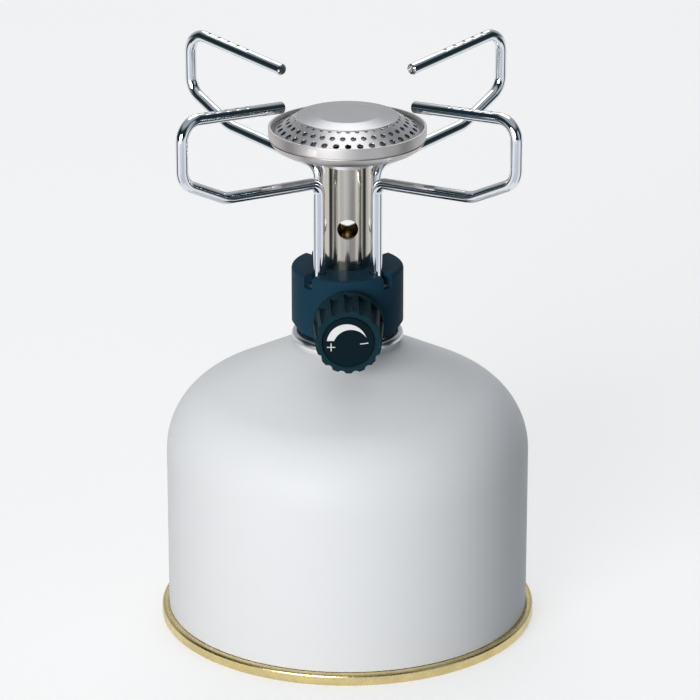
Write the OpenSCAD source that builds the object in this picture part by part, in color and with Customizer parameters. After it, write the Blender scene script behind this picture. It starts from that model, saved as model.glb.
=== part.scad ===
// Canister-top backpacking stove on its gas canister, in millimetres.
// The origin is the middle of the base ring, +Z is up and the valve knob faces -Y.

/* [Canister] */
// Outside diameter of the canister's straight wall
canister_d = 105.8; // [96:0.2:120]
// How far the base seam stands out from the wall
seam_step = 2.1; // [0.8:0.1:3]
// Height of the base seam
seam_h = 3.6; // [2.4:0.1:5]
// Thickness of the canister's sheet
sheet_t = 0.5; // [0.3:0.05:0.8]
// Height of the straight wall, up to where the shoulder starts to turn in
wall_h = 51.8; // [30:0.2:80]
// Radius of the shoulder's turn
shoulder_r = 22.5; // [14:0.5:28]
// Slope of the cone above the shoulder, in degrees
cone_slope = 27; // [15:1:35]
// Rise of the inward dome of the base
base_rise = 9; // [4:0.5:14]

/* [Canister valve] */
// How much wider the valve cup's rolled rim is than the body cover
cup_margin = 0.1; // [0:0.05:1]
// Thickness of the rolled rim
curl_d = 3.0; // [2.4:0.1:3.6]
// Height of the middle of the rolled rim above the cone
neck_h = 2.3; // [1.8:0.1:4]
// Thickness of the valve cup's sheet
cup_t = 0.45; // [0.3:0.05:0.6]
// Depth of the valve cup's floor below the middle of its rim
well_depth = 7.1; // [5:0.1:9]
// Outside diameter of the threaded nipple
nipple_d = 11.1; // [10:0.1:12]
// Wall of the nipple
nipple_t = 0.6; // [0.4:0.05:0.8]
// Height of the nipple's top above the middle of the cup's rim
nipple_rise = 1.5; // [0.5:0.1:3]
// Diameter of the canister valve's stem
stem_d = 2.8; // [2:0.1:3.4]
// How far the stem is pressed down
stem_travel = 1.2; // [0.6:0.1:2]
// Length of the valve housing below the nipple's top
housing_len = 17; // [14:0.5:22]
// Wire of the valve spring
spring_wire = 0.5; // [0.3:0.05:0.6]
// Turns of the valve spring
spring_turns = 6; // [4:1:8]

/* [Stove body] */
// Outside diameter of the body cover
cover_d = 32.3; // [31:0.1:37]
// Height of the body cover
cover_h = 19.3; // [17:0.1:24]
// Wall of the body cover
cover_wall = 1.25; // [0.9:0.05:1.6]
// Thickness of the cover's deck, which is the depth of its slots
deck_t = 2.9; // [2:0.1:4]
// Radius of the cover's upper edge
cover_round = 1.2; // [0.4:0.1:1.8]
// Height of the bevel at the cover's foot
foot_bevel_h = 2.6; // [1.5:0.1:3.5]
// How far the bevel at the foot goes in
foot_bevel_w = 1.7; // [1:0.05:2]
// Width of the four slots in the deck
slot_w = 3.2; // [2.4:0.1:3.5]
// Thickness of the plate that carries the pot supports
carrier_t = 4.0; // [3:0.1:5]
// Height of the valve spindle above the cover's foot
spindle_h = 7; // [6:0.1:8]

/* [Burner] */
// Outside diameter of the mixing tube
tube_d = 13.5; // [12.6:0.1:15]
// Wall of the mixing tube
tube_wall = 0.8; // [0.5:0.05:1]
// Diameter of the four air holes
air_hole_d = 6; // [4:0.1:7]
// Height of the air holes above the deck
air_hole_h = 12.4; // [9:0.1:18]
// Diameter of the burner's rim
rim_d = 45.2; // [44:0.2:51]
// Height of the rim above the deck
rim_h = 41.4; // [40:0.2:50]
// Height of the upright band of the rim
band_h = 3.1; // [2.6:0.1:5]
// Thickness of the burner's sheet
burner_t = 0.65; // [0.5:0.05:0.8]
// Diameter of the flat middle of the burner cap
plateau_d = 18; // [14:0.2:24]
// Height of the flat middle above the rim
plateau_h = 3.6; // [2.5:0.1:5]
// Slope of the perforated cone, in degrees
port_slope = 31.8; // [25:0.2:40]
// Rows of burner ports
port_rows = 3; // [1:1:3]
// Ports in each row
port_count = 36; // [20:2:38]
// Diameter of a port in the outermost row
port_d = 1.8; // [1.2:0.1:2.2]

/* [Pot supports] */
// Diameter of the support wire
wire_d = 3.4; // [3:0.1:4]
// How far the legs stand in from the outside of the cover
leg_inset = 4.6; // [4.4:0.05:5]
// Height of the elbow above the deck
elbow_h = 27; // [22:0.1:30]
// Distance from the burner's axis to the outer uprights
arm_reach = 64.6; // [60:0.1:76]
// Distance from the burner's axis to the shallow bend
bend_reach = 48.3; // [44:0.1:56]
// Distance from the burner's axis to the free end
end_reach = 26.1; // [26:0.1:34]
// Outward rise of the two long bars, in degrees
bar_slope = 6.2; // [3:0.1:8]
// Rise of the bar between the shallow bend and the upright, in degrees
kick_slope = 26; // [15:0.5:32]
// Height of the upright between its two corners
upright_h = 17.8; // [15:0.1:24]
// Notches along the top of each upper bar
notch_count = 5; // [0:1:6]
// Distance from one notch to the next
notch_pitch = 3.95; // [3:0.05:5]
// Distance from the outer corner to the first notch
notch_start = 8.6; // [8:0.1:12]

/* [Valve spindle] */
// Diameter of the spindle's thread
spindle_d = 5; // [4.4:0.1:5.4]
// Diameter of the spindle's smooth shank
shank_d = 4.6; // [4:0.1:4.8]
// Distance from the burner's axis to the needle's seat
seat_reach = 1.7; // [1.5:0.1:2.4]
// How far the packing nut stands out of the cover
nut_proud = 1.3; // [0.8:0.05:2]
// Size of the packing nut across its flats
nut_flats = 9.4; // [8.8:0.1:10]

/* [Knob] */
// Diameter of the knob's rear ring
knob_d = 20.6; // [19:0.1:24]
// Diameter of the knob's front
knob_front_d = 18.9; // [17:0.1:20]
// Length of the knob
knob_len = 14.5; // [12:0.1:18]
// Width of the rear ring
knob_ring_w = 1.9; // [1:0.1:3]
// Flutes around the knob
flute_count = 15; // [9:1:18]
// Width of a flute
flute_d = 2.5; // [1.6:0.1:2.8]
// Diameter of the cap in the knob's front
cap_d = 14.6; // [13:0.1:15]
// Thickness of the cap in the knob's front
cap_t = 1.4; // [1:0.1:2]

/* [Clearances] */
// Radial clearance of turning and sliding fits
run_gap = 0.05; // [0.03:0.01:0.09]
// Radial clearance of fixed fits
fit_gap = 0.02; // [0.01:0.01:0.05]
// Gap between the cup's rim and the foot of the stove
seat_gap = 0.34; // [0.3:0.02:0.6]
// Gap between parts that pass each other
part_gap = 0.3; // [0.25:0.05:0.5]

/* [Hidden] */
$fn = 64;
lap = 0.5;                 // how far joined shapes reach into each other
support_azimuths = [225, 315, 135, 45];

// Canister
canister_r = canister_d / 2;
seam_r = canister_r + seam_step;
shoulder_mid_r = canister_r - shoulder_r;
cup_d = cover_d + cup_margin;
curl_r = curl_d / 2;
curl_mid_r = cup_d / 2 - curl_r;
cone_r = shoulder_mid_r + shoulder_r * sin(cone_slope);
function cone_z(r) = wall_h + shoulder_r * cos(cone_slope) + (cone_r - r) * tan(cone_slope);
curl_z = cone_z(curl_mid_r) + neck_h;
curl_top = curl_z + curl_r;
gasket_t = 0.4;
bead_r = curl_r - cup_t - gasket_t;

// Canister valve
nipple_r = nipple_d / 2;
nipple_top = curl_z + nipple_rise;
well_z = curl_z - well_depth;
nipple_hole_d = stem_d + 1.8;
stem_gasket_t = 1.0;
stem_gasket_z = nipple_top - nipple_t - stem_gasket_t;
housing_r = nipple_r - nipple_t - part_gap / 2;
housing_wall = 1.3;
housing_z = nipple_top - housing_len;
housing_floor = 1.5;
collar_h = 1.4;
collar_z = stem_gasket_z - stem_travel - collar_h - run_gap;
collar_r = housing_r - housing_wall - part_gap;
stem_top = collar_z + collar_h + stem_gasket_t + 0.4;
spring_r = collar_r - spring_wire;

// Stove body
cover_r = cover_d / 2;
cover_in_r = cover_r - cover_wall;
cover_z = curl_top + seat_gap;
deck_z = cover_z + cover_h;
carrier_z = deck_z - deck_t - carrier_t;
carrier_top = carrier_z + carrier_t;
lip_in_r = cover_r - foot_bevel_w - 1.15;
lip_h = 0.6;
spindle_z = cover_z + spindle_h;
leg_reach = cover_r - leg_inset;
leg_d = wire_d;
clip_r = wire_d / 2 + 1.15;
clip_t = 1.0;
clip_z = carrier_z - part_gap - clip_t;
leg_z = clip_z - 1.1;
groove_d = wire_d - 0.9;
tube_r = tube_d / 2;
tube_in_r = tube_r - tube_wall;
socket_r = nipple_r + run_gap;
socket_wall = 2.6;
socket_z = well_z + 1.2;
socket_top = nipple_top + 0.84;
seal_section = 1.6;
seal_mid_r = 3.9;
seal_gap = 0.15;
flange_z = cover_z + part_gap;
flange_t = 2;
flange_r = lip_in_r - part_gap / 2;
core_r = leg_reach - clip_r - part_gap;
hub_r = tube_in_r + 0.3;
spigot_h = 3.8;
pin_root_d = 2.2;
pin_d = 1.8;
pin_root_h = 2.6;
gas_d = 1.2;
inlet_reach = pin_root_d / 2 + gas_d / 2 + 0.4;
seat_d = 1.4;
jet_d = 5;
jet_bore_z = carrier_top - 1.2;
jet_head_flats = 7;
jet_head_h = 2.5;
jet_nose_h = 2;
jet_hole_d = 0.4;
filter_d = 3.2;
filter_t = 1.5;

// Valve spindle, with places measured from the burner's axis towards the knob
boss_gap = 0.9;
boss_r = leg_reach * sin(45) - clip_r - boss_gap;
boss_end = cover_in_r - 1.8;
spigot_d = 7;
spigot_len = 2.4;
spigot_s = boss_end - spigot_len;
chamber_d = 4;
chamber_end = seat_reach + 3.5;
nut_corner_r = nut_flats / 2 / cos(30);
nut_end = cover_r + nut_proud;
nut_lip = 0.9;
ring_section = 1.12;
ring_groove_d = shank_d - 1.2;
ring_mid_r = ring_groove_d / 2 + run_gap + ring_section / 2;
gland_r = ring_mid_r + ring_section / 2 + run_gap;
arch_r = nut_corner_r + part_gap;
arch_side = arch_r - part_gap / 2;

// Knob
knob_gap = 0.6;
knob_back = nut_end + knob_gap;
knob_front = knob_back + knob_len;
cap_s = knob_front - cap_t;
screw_d = 2.5;
screw_head_d = 4.8;
screw_head_h = 1.8;
screw_len = 8;
head_room = 0.4;
head_s = cap_s - screw_head_h - head_room;
web_t = 3.8;
shank_end = head_s - web_t;
hub_wall = 1.9;
hub_d = shank_d + 2 * hub_wall;
web_step = 1.2;
knob_web_s = shank_end + web_step;
knob_rim_t = 1.7;
knob_in_r = knob_front_d / 2 - knob_rim_t;
flute_out = 0.5;
flute_mid_r = knob_front_d / 2 + flute_out;

// Burner
bowl_floor_drop = 4.6;
tube_top = deck_z + rim_h - band_h - bowl_floor_drop;
rim_z = deck_z + rim_h;
rim_r = rim_d / 2;
band_z = rim_z - band_h;
groove_w = 0.4;
groove_depth = 0.7;
dish_inset = 0.2;
bowl_foot_inset = 2.65;
bowl_foot_r = rim_r - bowl_foot_inset;
bowl_foot_h = 2.6;
collar_len = 3.2;
cap_seat_w = 0.4;
cap_flange_r = rim_r - burner_t - part_gap / 3;
cap_flange_w = 0.55;
cap_foot_r = cap_flange_r - cap_flange_w;
cap_drop = 1.35;
cap_foot_z = rim_z - cap_drop;
plateau_r = plateau_d / 2;
plateau_z = rim_z + plateau_h;
cap_crown_h = 0.65;
cap_crown_r = cap_foot_r - (plateau_z - cap_crown_h - cap_foot_z) / tan(port_slope);
ledge_z = cap_foot_z - burner_t;
lid_lap = 0.33;
lid_step = 0.25;
lid_r = cap_crown_r + lid_lap;
port_spread = (cap_foot_r - lid_r) / (port_rows - 0.2);
crimp_count = 3;
crimp_azimuth = -117;
crimp_w = 2.5;
crimp_h = 1.15;
crimp_drop = 0.8;
crimp_depth = 0.45;

// Pot supports, as corners in the plane of one arm: distance from the burner's axis, height
elbow_r = 4;
shallow_r = 12;
low_corner_r = 6;
top_corner_r = 5.5;
wire_sides = 16;
elbow_z = deck_z + elbow_h;
bend_z = elbow_z + (bend_reach - leg_reach) * tan(bar_slope);
low_z = bend_z + (arm_reach - bend_reach) * tan(kick_slope);
top_z = low_z + upright_h;
end_z = top_z - (arm_reach - end_reach) * tan(bar_slope);
leg_top = elbow_z - elbow_r - 1;
arm_corners = [[leg_reach, leg_top - lap], [leg_reach, elbow_z], [bend_reach, bend_z],
  [arm_reach, low_z], [arm_reach, top_z], [end_reach, end_z]];
arm_bends = [0, elbow_r, shallow_r, low_corner_r, top_corner_r, 0];
notch_r = 0.8;
notch_depth = 0.4;
sweep_ease = 0.02;         // the swept wire is this much slimmer than the drawn leg

// Colours
white_lacquer = [0.88, 0.89, 0.90];
gold_lacquer = [0.78, 0.70, 0.43];
tinplate = [0.70, 0.71, 0.73];
black_rubber = [0.06, 0.06, 0.06];
natural_plastic = [0.86, 0.84, 0.78];
brass = [0.76, 0.62, 0.33];
body_teal = [0.09, 0.20, 0.27];
knob_teal = [0.06, 0.14, 0.17];
nickel = [0.75, 0.72, 0.68];
burner_steel = [0.63, 0.62, 0.63];
wire_chrome = [0.80, 0.82, 0.86];
plain_steel = [0.60, 0.61, 0.63];

// Shapes that several pieces share

// Ring about Z between two radii
module ring(r_in, r_out, z, h) {
  translate([0, 0, z])
    difference() {
      cylinder(r = r_out, h = h);
      translate([0, 0, -lap]) cylinder(r = r_in, h = h + 2 * lap);
    }
}

// Rubber ring of round section about Z
module o_ring(mid_r, section, z) {
  translate([0, 0, z]) rotate_extrude() translate([mid_r, 0]) circle(d = section);
}

// Places its children on the spindle's axis, at a distance from the burner's axis, facing the knob
module on_spindle(s) {
  translate([0, -s, spindle_z]) rotate([90, 0, 0]) children();
}

// Rectangle with round corners, with its lower left corner at the origin
module round_bar(w, h, r) {
  translate([r, 0]) square([w - 2 * r, h]);
  translate([0, r]) square([w, h - 2 * r]);
  for (x = [r, w - r], y = [r, h - r]) translate([x, y]) circle(r = r);
}

// Canister

// Section of the canister inside its sheet's outer face, drawn in by inset
module canister_section(inset) {
  turn_r = shoulder_r - inset;
  top_r = curl_mid_r - bead_r;
  turn_end = [shoulder_mid_r + turn_r * sin(cone_slope), wall_h + turn_r * cos(cone_slope)];
  cone_end_z = turn_end[1] + (turn_end[0] - top_r) * tan(cone_slope);
  square([canister_r - inset, wall_h]);
  translate([shoulder_mid_r, wall_h]) circle(r = turn_r);
  polygon([[0, wall_h], [shoulder_mid_r, wall_h], turn_end, [top_r, cone_end_z], [0, cone_end_z]]);
}

module canister_shell() {
  neck_r = curl_mid_r - bead_r;
  color(white_lacquer)
    rotate_extrude()
      union() {
        intersection() {
          difference() {
            canister_section(0);
            canister_section(sheet_t);
          }
          translate([neck_r, seam_h]) square([canister_d, curl_top]);
        }
        translate([neck_r, cone_z(neck_r) - sheet_t]) square([sheet_t, curl_z - cone_z(neck_r) + sheet_t]);
        translate([curl_mid_r, curl_z]) circle(r = bead_r);
      }
}

module canister_base() {
  bar_w = seam_step + sheet_t + 0.5;
  bar_r = 0.9;
  dome_edge_r = seam_r - bar_w + lap;
  dome_r = (pow(dome_edge_r, 2) + pow(base_rise, 2)) / (2 * base_rise);
  dome_edge_z = seam_h / 2;
  color(gold_lacquer)
    rotate_extrude()
      union() {
        translate([seam_r - bar_w, 0]) round_bar(bar_w, seam_h, bar_r);
        intersection() {
          translate([0, dome_edge_z + base_rise - dome_r])
            difference() {
              circle(r = dome_r);
              circle(r = dome_r - sheet_t);
            }
          square([dome_edge_r, dome_edge_z + base_rise + lap]);
        }
      }
}

// Canister valve

module valve_cup() {
  wall_r = curl_mid_r - curl_r;
  tuck_h = 0.7;
  color(tinplate)
    rotate_extrude()
      union() {
        intersection() {
          translate([curl_mid_r, curl_z])
            difference() {
              circle(r = curl_r);
              circle(r = curl_r - cup_t);
            }
          union() {
            translate([wall_r, curl_z]) square([curl_d, curl_d]);
            translate([curl_mid_r, curl_z - tuck_h]) square([curl_d, curl_d]);
          }
        }
        translate([wall_r, well_z - cup_t]) square([cup_t, well_depth + cup_t]);
        translate([nipple_r - nipple_t, well_z - cup_t])
          square([wall_r + cup_t - nipple_r + nipple_t, cup_t]);
        translate([nipple_r - nipple_t, well_z - cup_t]) square([nipple_t, nipple_top - well_z + cup_t]);
        translate([nipple_hole_d / 2, nipple_top - nipple_t])
          square([nipple_r - nipple_hole_d / 2, nipple_t]);
      }
}

module cup_gasket() {
  color(black_rubber)
    rotate_extrude()
      translate([curl_mid_r, curl_z])
        intersection() {
          difference() {
            circle(r = curl_r - cup_t);
            circle(r = bead_r);
          }
          translate([-curl_d, 0]) square([2 * curl_d, curl_d]);
        }
}

module valve_housing() {
  color(natural_plastic)
    difference() {
      translate([0, 0, housing_z]) cylinder(r = housing_r, h = stem_gasket_z - housing_z);
      translate([0, 0, housing_z + housing_floor]) cylinder(r = housing_r - housing_wall, h = housing_len);
      translate([0, 0, housing_z - lap]) cylinder(d = stem_d, h = housing_len);
    }
}

module stem_gasket() {
  color(black_rubber) ring(stem_d / 2 + run_gap, housing_r, stem_gasket_z, stem_gasket_t);
}

module valve_stem() {
  color(natural_plastic) {
    translate([0, 0, collar_z]) cylinder(r = collar_r, h = collar_h);
    translate([0, 0, collar_z]) cylinder(d = stem_d, h = stem_top - collar_z);
  }
}

// Points of one ring of the spring's wire, after a share of its length
function spring_ring(share, h) =
  let (turn = 360 * spring_turns * share, sides = 6)
    [for (k = [0 : sides - 1])
      let (r = spring_r + spring_wire / 2 * cos(360 * k / sides))
        [r * cos(turn), r * sin(turn), h * share + spring_wire / 2 * sin(360 * k / sides)]];

// Triangles of a tube whose rings of points follow one another, with both ends closed
function tube_faces(rings, sides) = concat(
  [for (i = [0 : rings - 2], k = [0 : sides - 1]) let (n = (k + 1) % sides)
    [i * sides + k, (i + 1) * sides + k, (i + 1) * sides + n]],
  [for (i = [0 : rings - 2], k = [0 : sides - 1]) let (n = (k + 1) % sides)
    [i * sides + k, (i + 1) * sides + n, i * sides + n]],
  [for (k = [1 : sides - 2]) [0, k, k + 1]],
  [for (k = [1 : sides - 2]) [(rings - 1) * sides, (rings - 1) * sides + k + 1, (rings - 1) * sides + k]]);

module valve_spring() {
  sides = 6;
  rings = 10 * spring_turns + 1;
  foot_z = housing_z + housing_floor + spring_wire / 2 + run_gap;
  coil_h = collar_z - spring_wire / 2 - run_gap - foot_z;
  points = [for (i = [0 : rings - 1]) each spring_ring(i / (rings - 1), coil_h)];
  color(plain_steel) translate([0, 0, foot_z]) polyhedron(points, tube_faces(rings, sides));
}

// Stove body

// Section of the valve body's outside, turned about Z
module valve_body_section() {
  skirt_r = socket_r + socket_wall;
  spigot_r = tube_in_r - fit_gap;
  polygon([[0, socket_z], [skirt_r, socket_z], [skirt_r, flange_z], [flange_r, flange_z],
    [flange_r, flange_z + flange_t], [core_r, flange_z + flange_t], [core_r, carrier_z],
    [hub_r, carrier_z], [hub_r, carrier_top], [spigot_r, carrier_top],
    [spigot_r, carrier_top + spigot_h], [0, carrier_top + spigot_h]]);
}

// Section of the socket, the pin's hole and the seal's groove in the foot of the valve body
module socket_section() {
  seal_top = nipple_top + seal_gap + seal_section;
  seal_r = seal_section / 2 + run_gap;
  translate([0, socket_z - lap]) square([socket_r, socket_top - socket_z + lap]);
  translate([0, socket_z]) square([pin_root_d / 2 + fit_gap, socket_top + pin_root_h - socket_z]);
  translate([seal_mid_r - seal_r, socket_z]) square([2 * seal_r, seal_top - socket_z]);
}

// Section of the gas way up to the jet, the filter's seat and the jet's thread
module jet_section() {
  top_z = carrier_top + spigot_h + lap;
  translate([0, spindle_z - gas_d / 6]) square([gas_d / 2, top_z - spindle_z]);
  translate([0, jet_bore_z - filter_t]) square([filter_d / 2 + fit_gap, top_z - jet_bore_z + filter_t]);
  translate([0, jet_bore_z]) square([jet_d / 2 + fit_gap, top_z - jet_bore_z]);
}

// Section of the spindle's bore, from beyond the burner's axis out to the packing nut's thread
module spindle_bore_section() {
  end = boss_end + lap;
  translate([0, -gas_d]) square([seat_d / 2, end + gas_d]);
  translate([0, seat_reach]) square([chamber_d / 2, end - seat_reach]);
  translate([0, chamber_end]) square([spindle_d / 2 + run_gap, end - chamber_end]);
  translate([0, spigot_s]) square([spigot_d / 2 + fit_gap, end - spigot_s]);
}

module valve_body() {
  color(brass)
    difference() {
      union() {
        rotate_extrude() valve_body_section();
        on_spindle(core_r / 2) rotate(45) cylinder(r = boss_r, h = boss_end - core_r / 2);
      }
      rotate_extrude() socket_section();
      rotate_extrude() jet_section();
      on_spindle(0) rotate_extrude() spindle_bore_section();
      translate([0, -inlet_reach, socket_top - lap])
        cylinder(d = gas_d, h = spindle_z - gas_d - socket_top + lap);
    }
}

// Section of the body cover's outside
module cover_section() {
  round_z = cover_h - cover_round;
  polygon([[0, 0], [cover_r - foot_bevel_w, 0], [cover_r, foot_bevel_h], [cover_r, round_z],
    [cover_r - cover_round, round_z], [cover_r - cover_round, cover_h], [0, cover_h]]);
  translate([cover_r - cover_round, round_z]) circle(r = cover_round);
}

module body_cover() {
  hollow_z = foot_bevel_h + part_gap;
  color(body_teal)
    difference() {
      translate([0, 0, cover_z])
        rotate_extrude()
          difference() {
            cover_section();
            polygon([[0, -lap], [lip_in_r, -lap], [lip_in_r, lip_h], [cover_in_r, hollow_z],
              [cover_in_r, cover_h - deck_t], [0, cover_h - deck_t]]);
            square([tube_r + fit_gap, 2 * cover_h]);
          }
      for (azimuth = support_azimuths) rotate(azimuth) {
        translate([leg_reach, -slot_w / 2, deck_z - deck_t]) cube([cover_d, slot_w, deck_t + lap]);
        translate([leg_reach, 0, deck_z - deck_t - lap])
          cylinder(d = wire_d + 2 * part_gap, h = deck_t + 2 * lap);
      }
      on_spindle(core_r) cylinder(r = arch_r, h = cover_d);
      translate([-arch_side, -cover_d, cover_z - lap])
        cube([2 * arch_side, cover_d - core_r, spindle_h + lap]);
    }
}

module adapter_o_ring() {
  color(black_rubber) o_ring(seal_mid_r, seal_section, nipple_top + seal_gap + seal_section / 2);
}

module depressor_pin() {
  tip_z = stem_top + run_gap;
  color(plain_steel) {
    translate([0, 0, socket_top]) cylinder(d = pin_root_d, h = pin_root_h);
    translate([0, 0, tip_z]) cylinder(d = pin_d, h = socket_top - tip_z + lap);
  }
}

module arm_carrier() {
  color(plain_steel)
    difference() {
      ring(hub_r + fit_gap, cover_in_r - fit_gap, carrier_z, carrier_t);
      for (azimuth = support_azimuths) rotate(azimuth)
        translate([leg_reach, 0, carrier_z - lap]) cylinder(d = leg_d + 2 * run_gap, h = carrier_t + 2 * lap);
    }
}

module gas_jet() {
  foot_z = jet_bore_z + run_gap;
  head_z = carrier_top + spigot_h;
  color(brass)
    difference() {
      union() {
        translate([0, 0, foot_z]) cylinder(d = jet_d, h = head_z - foot_z + lap);
        translate([0, 0, head_z]) cylinder(d = jet_head_flats / cos(30), h = jet_head_h, $fn = 6);
        translate([0, 0, head_z + jet_head_h]) cylinder(d1 = jet_d, d2 = jet_d / 2, h = jet_nose_h);
      }
      translate([0, 0, foot_z - lap]) cylinder(d = jet_d / 2, h = head_z + jet_head_h - foot_z + lap);
      translate([0, 0, foot_z]) cylinder(d = jet_hole_d, h = tube_top);
    }
}

module jet_filter() {
  color(plain_steel) translate([0, 0, jet_bore_z - filter_t]) cylinder(d = filter_d, h = filter_t);
}

// Burner

module mixing_tube() {
  air_z = deck_z + air_hole_h;
  color(nickel)
    difference() {
      ring(tube_in_r, tube_r, carrier_top, tube_top - carrier_top);
      for (azimuth = [0, 90])
        translate([0, 0, air_z])
          rotate([90, 0, azimuth]) cylinder(d = air_hole_d, h = 2 * tube_d, center = true);
    }
}

// Section of the burner bowl, with its floor round the tube and its rim standing up
module bowl_section() {
  floor_z = tube_top - burner_t;
  in_r = rim_r - burner_t;
  foot_z = band_z - groove_w - bowl_foot_h;
  seat_r = cap_foot_r - cap_seat_w;
  collar_r = tube_r + fit_gap;
  groove_r = rim_r - groove_depth;
  polygon([
    [collar_r, tube_top - collar_len], [collar_r + burner_t, tube_top - collar_len],
    [collar_r + burner_t, floor_z], [bowl_foot_r, foot_z], [rim_r - dish_inset, band_z - groove_w],
    [groove_r, band_z - groove_w], [groove_r, band_z], [rim_r, band_z], [rim_r, rim_z],
    [in_r, rim_z], [in_r, ledge_z], [seat_r, ledge_z], [seat_r, band_z - groove_w],
    [bowl_foot_r - burner_t, foot_z + burner_t], [collar_r, tube_top]]);
}

// Wedge that a crimp presses into the band, deepest along its upper edge
module crimp() {
  foot_z = rim_z - crimp_drop - crimp_h;
  translate([rim_r, 0, foot_z])
    rotate([90, 0, 0])
      linear_extrude(crimp_w, center = true)
        polygon([[-crimp_depth, crimp_h], [crimp_depth, crimp_h], [crimp_depth, -crimp_h]]);
}

module burner_bowl() {
  color(burner_steel)
    difference() {
      rotate_extrude() bowl_section();
      for (i = [0 : crimp_count - 1])
        rotate(crimp_azimuth + i * 360 / crimp_count)
          crimp();
    }
}

// Section of the burner cap's perforated cone with its flange, up to a lip below the lid
module cone_section() {
  crown_z = plateau_z - cap_crown_h;
  bend = burner_t * tan(port_slope / 2);
  lip_r = cap_crown_r - 2 * burner_t;
  polygon([
    [lip_r, crown_z - burner_t], [cap_crown_r - bend, crown_z - burner_t],
    [cap_foot_r - bend, cap_foot_z - burner_t], [cap_flange_r, cap_foot_z - burner_t],
    [cap_flange_r, cap_foot_z], [cap_foot_r, cap_foot_z], [cap_crown_r, crown_z], [lip_r, crown_z]]);
}

// Section of the burner cap's lid: a flat middle and a bevel, whose edge stands on the cone
module lid_section() {
  edge_z = plateau_z - cap_crown_h - lid_lap * tan(port_slope) + lid_step;
  polygon([
    [0, plateau_z - burner_t], [plateau_r, plateau_z - burner_t], [lid_r, edge_z - burner_t],
    [lid_r, edge_z], [plateau_r, plateau_z], [0, plateau_z]]);
}

module burner_cap() {
  step = 360 / port_count;
  first_r = cap_foot_r - 0.8 * port_spread;
  color(burner_steel) {
    difference() {
      rotate_extrude() cone_section();
      for (row = [0 : port_rows - 1], i = [0 : port_count - 1]) {
        r = first_r - row * port_spread;
        z = cap_foot_z + (cap_foot_r - r) * tan(port_slope);
        rotate((i + row / 2) * step - 90)
          translate([r, 0, z])
            rotate([0, port_slope, 0])
              cylinder(d = port_d * r / first_r, h = 6 * burner_t, center = true);
      }
    }
    rotate_extrude() lid_section();
  }
}

// Pot supports

// Heading, in degrees, from one corner of an arm to the next
function heading(i) =
  let (from = arm_corners[i], to = arm_corners[i + 1]) atan2(to[1] - from[1], to[0] - from[0]);

// Turn at a corner, between -180 and 180 degrees
function turn_at(i) = let (t = heading(i) - heading(i - 1)) t > 180 ? t - 360 : t < -180 ? t + 360 : t;

// Places along the round bend at a corner, each as distance, height and heading
function bend_places(i) =
  let (turn = turn_at(i), side = sign(turn), r = arm_bends[i], h0 = heading(i - 1),
    steps = ceil(abs(turn) / 13),
    start = arm_corners[i] - r * tan(abs(turn) / 2) * [cos(h0), sin(h0)],
    middle = start + side * r * [-sin(h0), cos(h0)])
    [for (k = [0 : steps]) let (h = h0 + turn * k / steps)
      [middle[0] + side * r * sin(h), middle[1] - side * r * cos(h), h]];

// Swept wire through all the corners of an arm, in the XZ plane
module arm_sweep() {
  last = len(arm_corners) - 1;
  places = concat([[each arm_corners[0], heading(0)]],
    [for (i = [1 : last - 1]) each bend_places(i)],
    [[each arm_corners[last], heading(last - 1)]]);
  r = wire_d / 2 - sweep_ease;
  points = [for (p = places, k = [0 : wire_sides - 1])
    let (a = -360 * k / wire_sides, n = r * cos(a)) [p[0] - n * sin(p[2]), r * sin(a), p[1] + n * cos(p[2])]];
  polyhedron(points, tube_faces(len(places), wire_sides));
}

// One pot support, with its leg in the carrier and notches on its upper bar
module pot_support(azimuth) {
  color(wire_chrome)
    rotate(azimuth)
      difference() {
        union() {
          translate([leg_reach, 0, leg_z]) cylinder(d = leg_d, h = leg_top - leg_z);
          arm_sweep();
        }
        translate([leg_reach, 0, 0]) ring(groove_d / 2, leg_d, clip_z - part_gap / 4, clip_t + part_gap / 2);
        for (i = [0 : 1 : notch_count - 1])
          translate([arm_reach, 0, top_z])
            rotate([0, 180 - bar_slope, 0])
              translate([notch_start + i * notch_pitch, 0, -wire_d / 2 - notch_r + notch_depth])
                rotate([90, 0, 0]) cylinder(r = notch_r, h = 2 * wire_d, center = true);
      }
}

// Open retaining clip in the groove of one leg
module support_clip(azimuth) {
  color(plain_steel)
    rotate(azimuth)
      translate([leg_reach, 0, clip_z])
        difference() {
          cylinder(r = clip_r, h = clip_t);
          translate([0, 0, -lap]) cylinder(d = groove_d + 2 * fit_gap, h = clip_t + 2 * lap);
          translate([-wire_d, -groove_d / 3, -lap]) cube([wire_d, 2 * groove_d / 3, clip_t + 2 * lap]);
        }
}

// Valve spindle and knob

module spindle() {
  tip_s = seat_reach - 0.65;
  tip_r = 0.3;
  neck_r = 1.15;
  neck_s = tip_s + 2.05;
  thread_s = chamber_end + 0.4;
  thread_end = spigot_s - 0.4;
  groove_w = ring_section + 0.1;
  color(brass)
    difference() {
      union() {
        on_spindle(tip_s) cylinder(r1 = tip_r, r2 = neck_r, h = neck_s - tip_s);
        on_spindle(neck_s) cylinder(r = neck_r, h = thread_s - neck_s + lap);
        on_spindle(thread_s) cylinder(d = spindle_d, h = thread_end - thread_s);
        on_spindle(thread_end - lap) cylinder(d = shank_d, h = shank_end - thread_end + lap);
      }
      on_spindle(boss_end - groove_w / 2) ring(ring_groove_d / 2, shank_d, 0, groove_w);
      on_spindle(head_s - screw_len - 0.6) cylinder(d = screw_d + 2 * fit_gap, h = screw_len);
    }
}

module spindle_o_ring() {
  color(black_rubber) on_spindle(boss_end) o_ring(ring_mid_r, ring_section, 0);
}

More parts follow.
